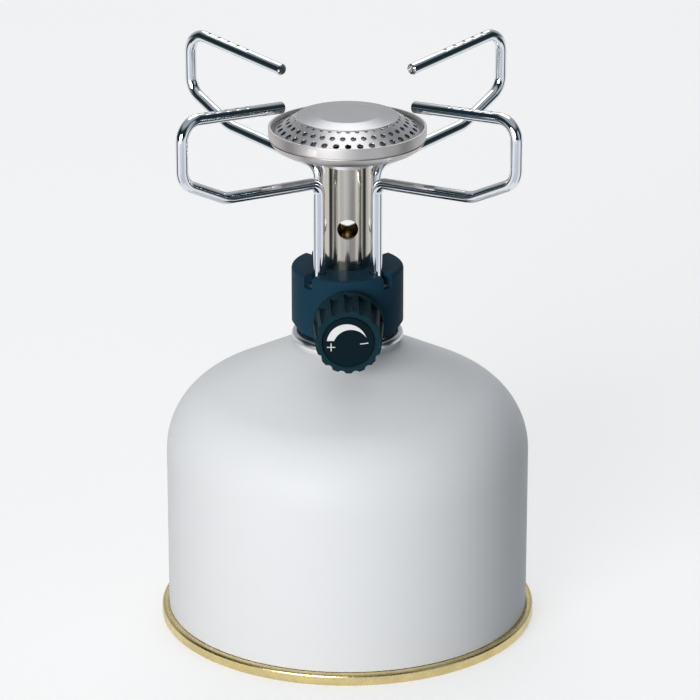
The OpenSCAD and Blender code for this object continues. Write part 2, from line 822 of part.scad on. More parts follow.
module packing_nut() {
  color(brass)
    difference() {
      union() {
        on_spindle(spigot_s) cylinder(d = spigot_d, h = spigot_len + lap);
        on_spindle(boss_end) cylinder(r = nut_corner_r, h = nut_end - boss_end, $fn = 6);
      }
      on_spindle(spigot_s - lap) cylinder(r = gland_r, h = nut_end - nut_lip - spigot_s + lap);
      on_spindle(spigot_s) cylinder(d = shank_d + 2 * run_gap, h = knob_back);
    }
}

// Section of the knob along its axis, from its rear face
module knob_section() {
  front_r = knob_front_d / 2;
  edge = 0.6;
  front_edge = 0.3;
  difference() {
    polygon([
      [0, 0], [knob_d / 2 - edge, 0], [knob_d / 2, edge], [knob_d / 2, knob_ring_w],
      [knob_d / 2 - edge / 3, knob_ring_w], [front_r, knob_len - front_edge],
      [front_r - front_edge, knob_len], [0, knob_len]]);
    translate([hub_d / 2, -lap]) square([knob_in_r - hub_d / 2, knob_web_s - knob_back + lap]);
    translate([0, -lap]) square([shank_d / 2 + fit_gap, shank_end - knob_back + lap]);
    square([screw_d / 2 + 2 * fit_gap, knob_len]);
    translate([0, head_s - knob_back]) square([screw_head_d / 2 + part_gap, knob_len]);
    translate([0, cap_s - knob_back]) square([cap_d / 2 + fit_gap, knob_len]);
  }
}

module knob() {
  color(knob_teal)
    on_spindle(knob_back)
      difference() {
        rotate_extrude() knob_section();
        for (i = [0 : flute_count - 1])
          rotate(90 + i * 360 / flute_count)
            translate([flute_mid_r, 0, knob_ring_w]) {
              cylinder(d = flute_d, h = knob_len);
              translate([0, -flute_d / 2, 0]) cube([knob_d, flute_d, knob_len]);
            }
      }
}

module knob_cap() {
  color(knob_teal) on_spindle(cap_s) cylinder(d = cap_d, h = cap_t);
}

module knob_screw() {
  slot_depth = 0.7;
  color(plain_steel)
    on_spindle(head_s)
      difference() {
        union() {
          cylinder(d = screw_head_d, h = screw_head_h);
          translate([0, 0, -screw_len]) cylinder(d = screw_d, h = screw_len + lap);
        }
        translate([0, 0, screw_head_h])
          cube([screw_head_d + lap, screw_d / 3, 2 * slot_depth], center = true);
      }
}

canister_shell();
canister_base();
valve_cup();
cup_gasket();
valve_housing();
stem_gasket();
valve_stem();
valve_spring();
valve_body();
body_cover();
adapter_o_ring();
depressor_pin();
arm_carrier();
gas_jet();
jet_filter();
mixing_tube();
burner_bowl();
burner_cap();
pot_support(support_azimuths[0]);  // pot_support_front_left
pot_support(support_azimuths[1]);  // pot_support_front_right
pot_support(support_azimuths[2]);  // pot_support_rear_left
pot_support(support_azimuths[3]);  // pot_support_rear_right
support_clip(support_azimuths[0]);  // support_clip_front_left
support_clip(support_azimuths[1]);  // support_clip_front_right
support_clip(support_azimuths[2]);  // support_clip_rear_left
support_clip(support_azimuths[3]);  // support_clip_rear_right
spindle();
spindle_o_ring();
packing_nut();
knob();
knob_cap();
knob_screw();
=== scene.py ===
"""Looks of a canister-top backpacking stove on its gas canister.

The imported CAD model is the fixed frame. Each sub-assembly below models the pieces that show,
dresses them together with the CAD nodes that stay, and lets every piece ride on its body.
Lengths are in metres, the valve knob faces -Y and +Z is up.
"""

import logging
import math
from collections.abc import Callable, Iterator
from contextlib import contextmanager
from dataclasses import dataclass
from enum import Enum

import bmesh
import bpy
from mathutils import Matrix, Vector


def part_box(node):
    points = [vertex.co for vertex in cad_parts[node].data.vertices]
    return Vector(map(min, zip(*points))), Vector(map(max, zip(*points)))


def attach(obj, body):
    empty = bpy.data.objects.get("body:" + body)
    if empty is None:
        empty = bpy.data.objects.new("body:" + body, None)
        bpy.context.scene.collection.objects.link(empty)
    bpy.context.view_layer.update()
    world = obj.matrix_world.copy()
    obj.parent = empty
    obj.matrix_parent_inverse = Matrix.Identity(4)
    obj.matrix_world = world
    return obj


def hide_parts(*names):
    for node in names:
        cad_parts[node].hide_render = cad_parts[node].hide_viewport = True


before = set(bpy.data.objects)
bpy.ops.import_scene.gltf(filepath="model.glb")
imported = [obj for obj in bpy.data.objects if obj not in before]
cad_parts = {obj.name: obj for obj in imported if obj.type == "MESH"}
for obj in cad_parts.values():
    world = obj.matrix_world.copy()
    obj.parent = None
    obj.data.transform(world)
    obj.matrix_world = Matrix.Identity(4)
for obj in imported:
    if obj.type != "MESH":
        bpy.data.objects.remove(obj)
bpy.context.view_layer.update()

LOG = logging.getLogger("stove")
MM = 0.001
FULL_TURN = 2 * math.pi
ALONG_Y = (math.pi / 2, 0, 0)

# Vertices closer than this are one
SAME_PLACE = 1e-7
# How far a cutter passes through a piece
SPARE = 1.0 * MM
# Clearance of pieces that are fixed together
FIT = 0.02 * MM
# Range that most of a noise pattern lies in
NOISE_RANGE = (0.3, 0.7)

Colour = tuple[float, float, float]
Place = tuple[float, float, float]
Spot = tuple[float, float]
Profile = list[Spot]
Piece = bpy.types.Object
Socket = bpy.types.NodeSocket


class Grain(Enum):
    """Which way the marks of a metal finish run."""

    EVEN = "even"
    RINGS = "rings"
    UPRIGHT = "upright"


class Side(Enum):
    """The four pot supports, with the heading of each arm in degrees from +X."""

    FRONT_LEFT = 225
    FRONT_RIGHT = 315
    REAR_LEFT = 135
    REAR_RIGHT = 45

    @property
    def label(self) -> str:
        """Ending of the names of the side's pieces."""
        return self.name.lower()

    @property
    def heading(self) -> float:
        """Heading of the arm, in radians."""
        return math.radians(self.value)


# Modelling, as by hand


def deselect() -> None:
    """Go to object mode and select nothing."""
    if bpy.context.mode != "OBJECT":
        bpy.ops.object.mode_set(mode="OBJECT")
    bpy.ops.object.select_all(action="DESELECT")


def activate(piece: Piece) -> None:
    """Select one piece alone and make it the active one.

    Args:
        piece: The piece to work on.
    """
    deselect()
    piece.select_set(True)
    bpy.context.view_layer.objects.active = piece


@contextmanager
def editing(piece: Piece) -> Iterator[None]:
    """Hold a piece in edit mode.

    Args:
        piece: The piece to edit.
    """
    activate(piece)
    bpy.ops.object.mode_set(mode="EDIT")
    bpy.ops.mesh.select_mode(type="VERT")
    yield
    bpy.ops.object.mode_set(mode="OBJECT")


def pick(piece: Piece, test: Callable[[Vector], bool]) -> None:
    """Select the vertices that a test on their place accepts, in edit mode.

    Args:
        piece: The piece in edit mode.
        test: Says of a place whether its vertex is wanted.
    """
    bpy.ops.mesh.select_all(action="DESELECT")
    shape = bmesh.from_edit_mesh(piece.data)
    for vertex in shape.verts:
        vertex.select = test(vertex.co)
    shape.select_flush_mode()
    bmesh.update_edit_mesh(piece.data)


def settle(piece: Piece) -> Piece:
    """Put a piece's place, turn and scale into its mesh.

    Args:
        piece: The piece to settle.

    Returns:
        The same piece, at the origin.
    """
    activate(piece)
    bpy.ops.object.transform_apply(location=True, rotation=True, scale=True)
    return piece


def close_up(piece: Piece) -> Piece:
    """Merge what lies on one place and turn all faces outwards.

    Args:
        piece: The piece to mend.

    Returns:
        The same piece.
    """
    with editing(piece):
        bpy.ops.mesh.select_all(action="SELECT")
        bpy.ops.mesh.remove_doubles(threshold=SAME_PLACE)
        bpy.ops.mesh.normals_make_consistent(inside=False)
    return piece


def turn_profile(name: str, profile: Profile, steps: int) -> Piece:
    """Turn a profile about Z, as on a lathe.

    Args:
        name: Name of the new piece.
        profile: Distances from the axis and heights, in metres; a ring repeats its first point.
        steps: Steps of the full turn.

    Returns:
        The turned piece.
    """
    deselect()
    bpy.ops.mesh.primitive_plane_add(size=MM)
    piece = bpy.context.active_object
    piece.name = name
    with editing(piece):
        bpy.ops.mesh.select_all(action="SELECT")
        bpy.ops.mesh.merge(type="CENTER")
        bpy.ops.transform.translate(value=(profile[0][0], 0, profile[0][1]))
        for (r_from, z_from), (r_to, z_to) in zip(profile, profile[1:]):
            step = (r_to - r_from, 0, z_to - z_from)
            bpy.ops.mesh.extrude_region_move(TRANSFORM_OT_translate={"value": step})
        bpy.ops.mesh.select_all(action="SELECT")
        bpy.ops.mesh.remove_doubles(threshold=SAME_PLACE)
        bpy.ops.mesh.spin(steps=steps, angle=FULL_TURN, center=(0, 0, 0), axis=(0, 0, 1))
    return close_up(piece)


def arc(middle: Spot, radius: float, start: float, end: float, steps: int) -> Profile:
    """Points along a round of a profile.

    Args:
        middle: Middle of the round.
        radius: Its radius.
        start: First heading, in degrees from outwards.
        end: Last heading, in degrees.
        steps: Steps from the first to the last point.

    Returns:
        The points, ends included.
    """
    turns = [math.radians(start + (end - start) * i / steps) for i in range(steps + 1)]
    return [(middle[0] + radius * math.cos(t), middle[1] + radius * math.sin(t)) for t in turns]


def add_bar(radius: float, length: float, place: Place, turn: Place = (0, 0, 0), sides: int = 32) -> Piece:
    """Add a round bar, for cutting with.

    Args:
        radius: Radius of the bar.
        length: Its length.
        place: Its middle.
        turn: Turns about X, Y and Z, in radians.
        sides: Sides of the bar.

    Returns:
        The bar, settled.
    """
    deselect()
    bpy.ops.mesh.primitive_cylinder_add(vertices=sides, radius=radius, depth=length, location=place,
                                        rotation=turn)
    return settle(bpy.context.active_object)


def add_block(low: Place, high: Place) -> Piece:
    """Add a block between two corners, for cutting with.

    Args:
        low: Its lowest corner.
        high: Its highest corner.

    Returns:
        The block, settled.
    """
    middle = [(a + b) / 2 for a, b in zip(low, high)]
    deselect()
    bpy.ops.mesh.primitive_cube_add(size=1, location=middle)
    block = bpy.context.active_object
    block.scale = [b - a for a, b in zip(low, high)]
    return settle(block)


def turned_copies(piece: Piece, angles: list[float]) -> Piece:
    """Copy a piece round Z and join the copies with it.

    Args:
        piece: The piece to copy.
        angles: Turn of each copy, in radians; the first is the piece's own.

    Returns:
        The joined piece.
    """
    made = [piece]
    for angle in angles[1:]:
        activate(piece)
        bpy.ops.object.duplicate()
        copy = bpy.context.active_object
        copy.rotation_euler.z = angle
        made.append(settle(copy))
    piece.rotation_euler.z = angles[0]
    settle(piece)
    for copy in made:
        copy.select_set(True)
    bpy.context.view_layer.objects.active = piece
    bpy.ops.object.join()
    return piece


def apply_modifier(piece: Piece, kind: str, **settings: object) -> None:
    """Add a modifier to a piece and apply it.

    Args:
        piece: The piece to change.
        kind: Type of the modifier.
        settings: Its settings.
    """
    activate(piece)
    modifier = piece.modifiers.new(kind.lower(), kind)
    for name, value in settings.items():
        setattr(modifier, name, value)
    bpy.ops.object.modifier_apply(modifier=modifier.name)


def apply_boolean(piece: Piece, tool: Piece, operation: str = "DIFFERENCE") -> None:
    """Cut a piece with a tool piece, or join the two; the tool is then removed.

    Args:
        piece: The piece to change.
        tool: The shape to cut with or to join.
        operation: Name of the boolean operation.
    """
    apply_modifier(piece, "BOOLEAN", operation=operation, solver="EXACT", use_self=True, object=tool)
    bpy.data.objects.remove(tool)


def soften(piece: Piece, width: float, segments: int = 2, angle: float = 35) -> None:
    """Round the sharp edges of a piece.

    Args:
        piece: The piece to round.
        width: Width of the rounding.
        segments: Segments of the rounding.
        angle: Edges that turn by more than this, in degrees, are rounded.
    """
    apply_modifier(piece, "BEVEL", width=width, segments=segments, limit_method="ANGLE",
                   angle_limit=math.radians(angle), use_clamp_overlap=True, harden_normals=False)


def shade(piece: Piece, angle: float) -> None:
    """Shade a piece smoothly, but for its sharp edges.

    Args:
        piece: The piece to shade.
        angle: Edges that turn by more than this, in degrees, stay sharp.
    """
    activate(piece)
    bpy.ops.object.shade_smooth_by_angle(angle=math.radians(angle))
    apply_modifier(piece, "WEIGHTED_NORMAL", keep_sharp=True, weight=80)


# Finishes


class NodeBench:
    """A node tree, wired by plain calls."""

    def __init__(self, tree: bpy.types.NodeTree, place: str) -> None:
        """Start with an empty tree.

        Args:
            tree: The node tree to fill.
            place: Name of the texture coordinate that patterns are read along.
        """
        self.tree = tree
        self.tree.nodes.clear()
        self.place = self.tree.nodes.new("ShaderNodeTexCoord").outputs[place]

    def feed(self, socket: Socket, value: Socket | float | Colour | Place) -> None:
        """Link a socket to a value's socket, or set it to a number or colour.

        Args:
            socket: The socket that takes the value.
            value: Another socket, a number, or three numbers.
        """
        if isinstance(value, bpy.types.NodeSocket):
            self.tree.links.new(value, socket)
        elif isinstance(value, tuple) and socket.type == "RGBA":
            socket.default_value = (*value, 1)
        else:
            socket.default_value = value

    def math(self, operation: str, *values: Socket | float) -> Socket:
        """Work out a number.

        Args:
            operation: Name of the operation.
            values: What it works on.

        Returns:
            The result's socket.
        """
        node = self.tree.nodes.new("ShaderNodeMath")
        node.operation = operation
        for socket, value in zip(node.inputs, values):
            self.feed(socket, value)
        return node.outputs[0]

    def parts(self, vector: Socket) -> tuple[Socket, Socket, Socket]:
        """Take a vector apart into its X, Y and Z.

        Args:
            vector: The vector's socket.

        Returns:
            Three sockets.
        """
        node = self.tree.nodes.new("ShaderNodeSeparateXYZ")
        self.feed(node.inputs[0], vector)
        return node.outputs[0], node.outputs[1], node.outputs[2]

    def vector(self, x: Socket | float, y: Socket | float, z: Socket | float) -> Socket:
        """Put a vector together.

        Args:
            x: Its X.
            y: Its Y.
            z: Its Z.

        Returns:
            The vector's socket.
        """
        node = self.tree.nodes.new("ShaderNodeCombineXYZ")
        for socket, value in zip(node.inputs, (x, y, z)):
            self.feed(socket, value)
        return node.outputs[0]

    def noise(self, vector: Socket, scale: float, detail: float = 3) -> Socket:
        """Make a cloudy pattern between 0 and 1.

        Args:
            vector: Where the pattern is read.
            scale: Clouds in a metre.
            detail: Finer layers of the pattern.

        Returns:
            The pattern's socket.
        """
        node = self.tree.nodes.new("ShaderNodeTexNoise")
        self.feed(node.inputs["Vector"], vector)
        self.feed(node.inputs["Scale"], scale)
        self.feed(node.inputs["Detail"], detail)
        return node.outputs[0]

    def spread(self, value: Socket, low: float, high: float, to_low: float, to_high: float) -> Socket:
        """Map a range of numbers to another one, held at its ends.

        Args:
            value: The number's socket.
            low: Where the first range starts.
            high: Where it ends.
            to_low: Result at its start.
            to_high: Result at its end.

        Returns:
            The result's socket.
        """
        node = self.tree.nodes.new("ShaderNodeMapRange")
        ends = {"From Min": low, "From Max": high, "To Min": to_low, "To Max": to_high}
        for name, number in ends.items():
            self.feed(node.inputs[name], number)
        self.feed(node.inputs["Value"], value)
        return node.outputs[0]

    def blend(self, share: Socket, first: Socket | Colour, second: Socket | Colour) -> Socket:
        """Mix two colours.

        Args:
            share: Share of the second colour.
            first: One colour.
            second: The other.

        Returns:
            The mixed colour's socket.
        """
        node = self.tree.nodes.new("ShaderNodeMix")
        node.data_type = "RGBA"
        self.feed(node.inputs["Factor"], share)
        # The node keeps its two colours in sockets 6 and 7, and their mix in socket 2
        self.feed(node.inputs[6], first)
        self.feed(node.inputs[7], second)
        return node.outputs[2]

    def seen(self) -> Socket:
        """Tell whether a ray comes from the camera, straight or by way of metal or glass.

        Returns:
            A socket that is 1 for such rays.
        """
        rays = self.tree.nodes.new("ShaderNodeLightPath").outputs
        by_way = self.math("MAXIMUM", rays["Is Glossy Ray"], rays["Is Transmission Ray"])
        return self.math("MAXIMUM", rays["Is Camera Ray"], by_way)


class MaterialBench(NodeBench):
    """The node tree of one material, with its shader."""

    def __init__(self, name: str) -> None:
        """Start a material.

        Args:
            name: Name of the material.
        """
        self.material = bpy.data.materials.new(name)
        self.material.use_nodes = True
        super().__init__(self.material.node_tree, "Object")
        output = self.tree.nodes.new("ShaderNodeOutputMaterial")
        self.shader = self.tree.nodes.new("ShaderNodeBsdfPrincipled")
        self.tree.links.new(self.shader.outputs["BSDF"], output.inputs["Surface"])

    def shader_set(self, **values: Socket | float | Colour) -> None:
        """Set the shader's sockets, named with _ in place of spaces.

        Args:
            values: What each socket takes.
        """
        for name, value in values.items():
            self.feed(self.shader.inputs[name.replace("_", " ")], value)

    def bump(self, height: Socket, depth: float, strength: float = 1) -> None:
        """Give the shader's surface small dents.

        Args:
            height: The pattern of the dents.
            depth: Their depth, in metres.
            strength: How much of them shows.
        """
        node = self.tree.nodes.new("ShaderNodeBump")
        self.feed(node.inputs["Strength"], strength)
        self.feed(node.inputs["Distance"], depth)
        self.feed(node.inputs["Height"], height)
        self.tree.links.new(node.outputs[0], self.shader.inputs["Normal"])


def scaled(colour: Colour, share: float) -> Colour:
    """Darken or lighten a colour.

    Args:
        colour: The colour.
        share: What it is multiplied by.

    Returns:
        The new colour.
    """
    return tuple(min(1.0, part * share) for part in colour)


@dataclass(frozen=True)
class Metal:
    """Bare or plated metal with fine marks and small changes of gloss.

    Attributes:
        name: Name of the finish.
        colour: Colour of the metal.
        roughness: Its mean roughness.
        change: How far the roughness changes from mark to mark.
        grain: Which way its marks run.
        marks: Marks in a metre, across their run.
        depth: Depth of the marks, in metres.
        stain: Share by which the metal is darker in its clouds; this is stain, and on the nickel tube it is
            also a painted dark reflection.
        clouds: Clouds in a metre, across the run of the marks.
        cloud_change: Share by which the roughness changes from cloud to cloud.
        stretch: Share of a pattern's changes that is left along upright marks.
    """

    name: str
    colour: Colour
    roughness: float
    change: float = 0.06
    grain: Grain = Grain.EVEN
    marks: float = 3000
    depth: float = 2e-6
    stain: float = 0.1
    clouds: float = 140
    cloud_change: float = 0.1
    stretch: float = 0.02

    def run(self, bench: MaterialBench) -> Socket:
        """Give the places along which the marks are read.

        Args:
            bench: The material in the making.

        Returns:
            A vector's socket.
        """
        if self.grain is Grain.EVEN:
            return bench.place
        x, y, z = bench.parts(bench.place)
        if self.grain is Grain.UPRIGHT:
            return bench.vector(x, y, bench.math("MULTIPLY", z, self.stretch))
        squares = bench.math("ADD", bench.math("MULTIPLY", x, x), bench.math("MULTIPLY", y, y))
        radius = bench.math("SQRT", squares)
        return bench.vector(radius, z, 0.0)

    def make(self) -> bpy.types.Material:
        """Build the material.

        Returns:
            The finished material.
        """
        bench = MaterialBench(self.name)
        run = self.run(bench)
        clouds = bench.noise(run, self.clouds, 4)
        marks = bench.noise(run, self.marks, 4)
        # Darker clouds: stain, and on the bright nickel also a painted dark reflection
        darker = bench.spread(clouds, 0.35, 0.65, 0, 1)
        by_mark = bench.spread(marks, *NOISE_RANGE, -self.change, self.change)
        by_cloud = bench.spread(clouds, *NOISE_RANGE, self.roughness * (1 - self.cloud_change),
                                self.roughness * (1 + self.cloud_change))
        bench.shader_set(
            Base_Color=bench.blend(darker, self.colour, scaled(self.colour, 1 - self.stain)),
            Metallic=1.0,
            Roughness=bench.math("ADD", by_mark, by_cloud),
        )
        bench.bump(marks, self.depth)
        return bench.material


@dataclass(frozen=True)
class Lacquer:
    """Satin lacquer on drawn steel, under a thin clear coat.

    Attributes:
        name: Name of the finish.
        colour: Colour of the lacquer.
        roughness: Its mean roughness.
        change: Share by which the roughness changes from place to place.
        fade: Share by which the lacquer is darker in its clouds.
        clouds: Clouds in a metre.
        gloss: Level of its mirror-like share.
        coat: Weight of the clear coat.
        coat_roughness: Roughness of the coat.
        peel: Dents of the skin in a metre.
        peel_depth: Depth of the dents, in metres.
        peel_strength: How much of the dents shows.
    """

    name: str
    colour: Colour
    roughness: float
    change: float = 0.1
    fade: float = 0.015
    clouds: float = 12
    gloss: float = 0.14
    coat: float = 0.03
    coat_roughness: float = 0.15
    peel: float = 900
    peel_depth: float = 2e-6
    peel_strength: float = 0.25

    def make(self) -> bpy.types.Material:
        """Build the material.

        Returns:
            The finished material.
        """
        bench = MaterialBench(self.name)
        clouds = bench.noise(bench.place, self.clouds, 1)
        peel = bench.noise(bench.place, self.peel, 2)
        bench.shader_set(
            Base_Color=bench.blend(clouds, self.colour, scaled(self.colour, 1 - self.fade)),
            Roughness=bench.spread(clouds, 0, 1, self.roughness * (1 - self.change),
                                   self.roughness * (1 + self.change)),
            Specular_IOR_Level=self.gloss,
            Coat_Weight=self.coat,
            Coat_Roughness=self.coat_roughness,
        )
        bench.bump(peel, self.peel_depth, self.peel_strength)
        return bench.material


@dataclass(frozen=True)
class Moulded:
    """Moulded plastic or rubber with a fine eroded skin.

    Attributes:
        name: Name of the finish.
        colour: Its colour.
        roughness: Its mean roughness.
        skin: Depth of the skin's texture, in metres.
        fine: Grains of the skin in a metre.
        gloss: Level of its mirror-like share.
        change: Share by which the roughness changes from grain to grain.
        fade: Share by which the plastic is darker in its clouds.
        clouds: Clouds in a metre.
        strength: How much of the skin's texture shows.
    """

    name: str
    colour: Colour
    roughness: float
    skin: float = 1.2e-5
    fine: float = 4500
    gloss: float = 0.5
    change: float = 0.12
    fade: float = 0.18
    clouds: float = 160
    strength: float = 0.6

    def make(self) -> bpy.types.Material:
        """Build the material.

        Returns:
            The finished material.
        """
        bench = MaterialBench(self.name)
        clouds = bench.noise(bench.place, self.clouds)
        grains = bench.noise(bench.place, self.fine, 2)
        bench.shader_set(
            Base_Color=bench.blend(clouds, self.colour, scaled(self.colour, 1 - self.fade)),
            Roughness=bench.spread(grains, *NOISE_RANGE, self.roughness * (1 - self.change),
                                   self.roughness * (1 + self.change)),
            Specular_IOR_Level=self.gloss,
        )
        bench.bump(grains, self.skin, self.strength)
        return bench.material


# Sub-assemblies


def dress(nodes: list[str], material: bpy.types.Material) -> None:
    """Give CAD nodes a material.

    Args:
        nodes: Names of the nodes.
        material: Their material.
    """
    for node in nodes:
        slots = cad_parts[node].data.materials
        slots.clear()
        slots.append(material)
        LOG.info("node %s takes %s", node, material.name)


def finish_piece(piece: Piece, body: str, nodes: list[str],
                 material: bpy.types.Material, sharp: float = 40) -> None:
    """Shade and dress a new piece and let it ride on its body.

    Args:
        piece: The piece.
        body: CAD body that it moves with.
        nodes: CAD nodes that it stands for.
        material: Its material.
        sharp: Edges that turn by more than this, in degrees, stay sharp.
    """
    shade(piece, sharp)
    piece.data.name = piece.name
    piece.data.materials.clear()
    piece.data.materials.append(material)
    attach(piece, body)
    if nodes:
        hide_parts(*nodes)
    LOG.info("piece %s rides on %s with %d faces", piece.name, body, len(piece.data.polygons))


@dataclass
class Canister:
    """Drawn canister with its seamed base and crimped valve cup."""

    wall_r: float = 52.9 * MM
    wall_top: float = 51.8 * MM
    shoulder_r: float = 22.5 * MM
    slope: float = 27.0
    seam_r: float = 55.0 * MM
    seam_in_r: float = 52.0 * MM
    seam_h: float = 3.6 * MM
    bead_r: float = 0.9 * MM
    fold_z: float = 2.15 * MM
    fold_w: float = 0.5 * MM
    fold_depth: float = 0.06 * MM
    hem_in: float = 0.95 * MM
    hem_step: float = 0.02 * MM
    sheet: float = 0.5 * MM
    neck_r: float = 14.55 * MM
    neck_top: float = 87.0 * MM
    neck_ease: float = 0.9 * MM
    dome_rise: float = 9.0 * MM
    dome_edge_z: float = 1.8 * MM
    dome_edge_r: float = 52.3 * MM
    steps: int = 192
    lacquer: Lacquer = Lacquer("white_lacquer", (0.81, 0.816, 0.828), 0.52)
    gold: Metal = Metal("gold_lacquer", (0.76, 0.62, 0.31), 0.28, change=0.04, marks=900, depth=1e-6,
                        stain=0.14, clouds=180)
    tin: Metal = Metal("tinplate", (0.66, 0.67, 0.69), 0.24, change=0.05, grain=Grain.RINGS, marks=5000)
    rubber: Moulded = Moulded("canister_rubber", (0.012, 0.012, 0.012), 0.6)
    plastic: Moulded = Moulded("valve_plastic", (0.70, 0.67, 0.58), 0.45)
    spring: Metal = Metal("valve_spring_wire", (0.55, 0.55, 0.56), 0.25)

    def skin(self, inset: float, foot: float) -> Profile:
        """Run along the sheet from its foot to the foot of its neck.

        Args:
            inset: How far the run lies inside the outer face.
            foot: Height where it starts.

        Returns:
            Points of the run, upwards.
        """
        middle = (self.wall_r - self.shoulder_r, self.wall_top)
        rounding = arc(middle, self.shoulder_r - inset, 0, 90 - self.slope, 20)
        end_r, end_z = rounding[-1]
        slope = math.tan(math.radians(self.slope))
        reaches = (32 * MM, 24 * MM, self.neck_r + self.neck_ease - inset)
        rise = [(r, end_z + (end_r - r) * slope) for r in reaches]
        return [(self.wall_r - inset, foot), (self.wall_r - inset, 0.5 * self.wall_top), *rounding, *rise]

    def shell(self) -> Piece:
        """Turn the drawn sheet.

        Returns:
            The canister's shell.
        """
        outside = self.skin(0, self.seam_h)
        cone_z = outside[-1][1]
        fillet = [(self.neck_r + 0.35 * MM, cone_z + 0.35 * MM), (self.neck_r, cone_z + 1.0 * MM)]
        inside = self.skin(self.sheet, self.seam_h)
        lip = [(self.neck_r, self.neck_top), (self.neck_r - self.sheet, self.neck_top),
               (self.neck_r - self.sheet, inside[-1][1] + 0.5 * MM)]
        profile = outside + fillet + lip + inside[::-1]
        return turn_profile("canister_skin", profile + profile[:1], self.steps)

    def base(self) -> Piece:
        """Turn the domed base with its seam.

        Returns:
            The canister's base.
        """
        radius = (self.dome_edge_r ** 2 + self.dome_rise ** 2) / (2 * self.dome_rise)
        top = self.dome_edge_z + self.dome_rise

        def dome(drop: float, edge: float) -> Profile:
            """List points of the dome from its middle to near its edge.

            Args:
                drop: How far the points lie below the upper face.
                edge: Distance of the last point from the axis.

            Returns:
                The points, outwards.
            """
            centre_z = top - drop - radius
            reaches = [edge * i / 12 for i in range(13)]
            return [(reach, centre_z + math.sqrt(radius ** 2 - reach ** 2)) for reach in reaches]

        low = dome(self.sheet, self.dome_edge_r - 0.9 * MM)
        high = dome(0, self.dome_edge_r - 0.5 * MM)
        bead_in = (self.seam_in_r + self.bead_r, self.bead_r)
        bead_out = (self.seam_r - self.bead_r, self.bead_r)
        hem = (self.seam_r - self.hem_in, self.seam_h - self.hem_in)
        bead = [(self.seam_in_r, self.bead_r), *arc(bead_in, self.bead_r, 180, 270, 5)[1:],
                *arc(bead_out, self.bead_r, -90, 0, 6),
                (self.seam_r, self.fold_z - self.fold_w / 2), (self.seam_r - self.fold_depth, self.fold_z),
                (self.seam_r - self.hem_step, self.fold_z + self.fold_w / 2),
                *arc(hem, self.hem_in - self.hem_step, 0, 90, 6),
                (self.wall_r + 0.6 * MM, self.seam_h - self.hem_step),
                (self.wall_r, self.seam_h - 0.1 * MM), (self.dome_edge_r, self.seam_h - 0.4 * MM)]
        return turn_profile("canister_seam", low + bead + high[::-1], self.steps)

    def build(self) -> None:
        """Model and dress the canister."""
        finish_piece(self.shell(), "canister", ["canister_shell"], self.lacquer.make())
        finish_piece(self.base(), "canister", ["canister_base"], self.gold.make(), sharp=50)
        dress(["valve_cup"], self.tin.make())
        dress(["cup_gasket", "stem_gasket"], self.rubber.make())
        dress(["valve_housing", "valve_stem"], self.plastic.make())
        dress(["valve_spring"], self.spring.make())


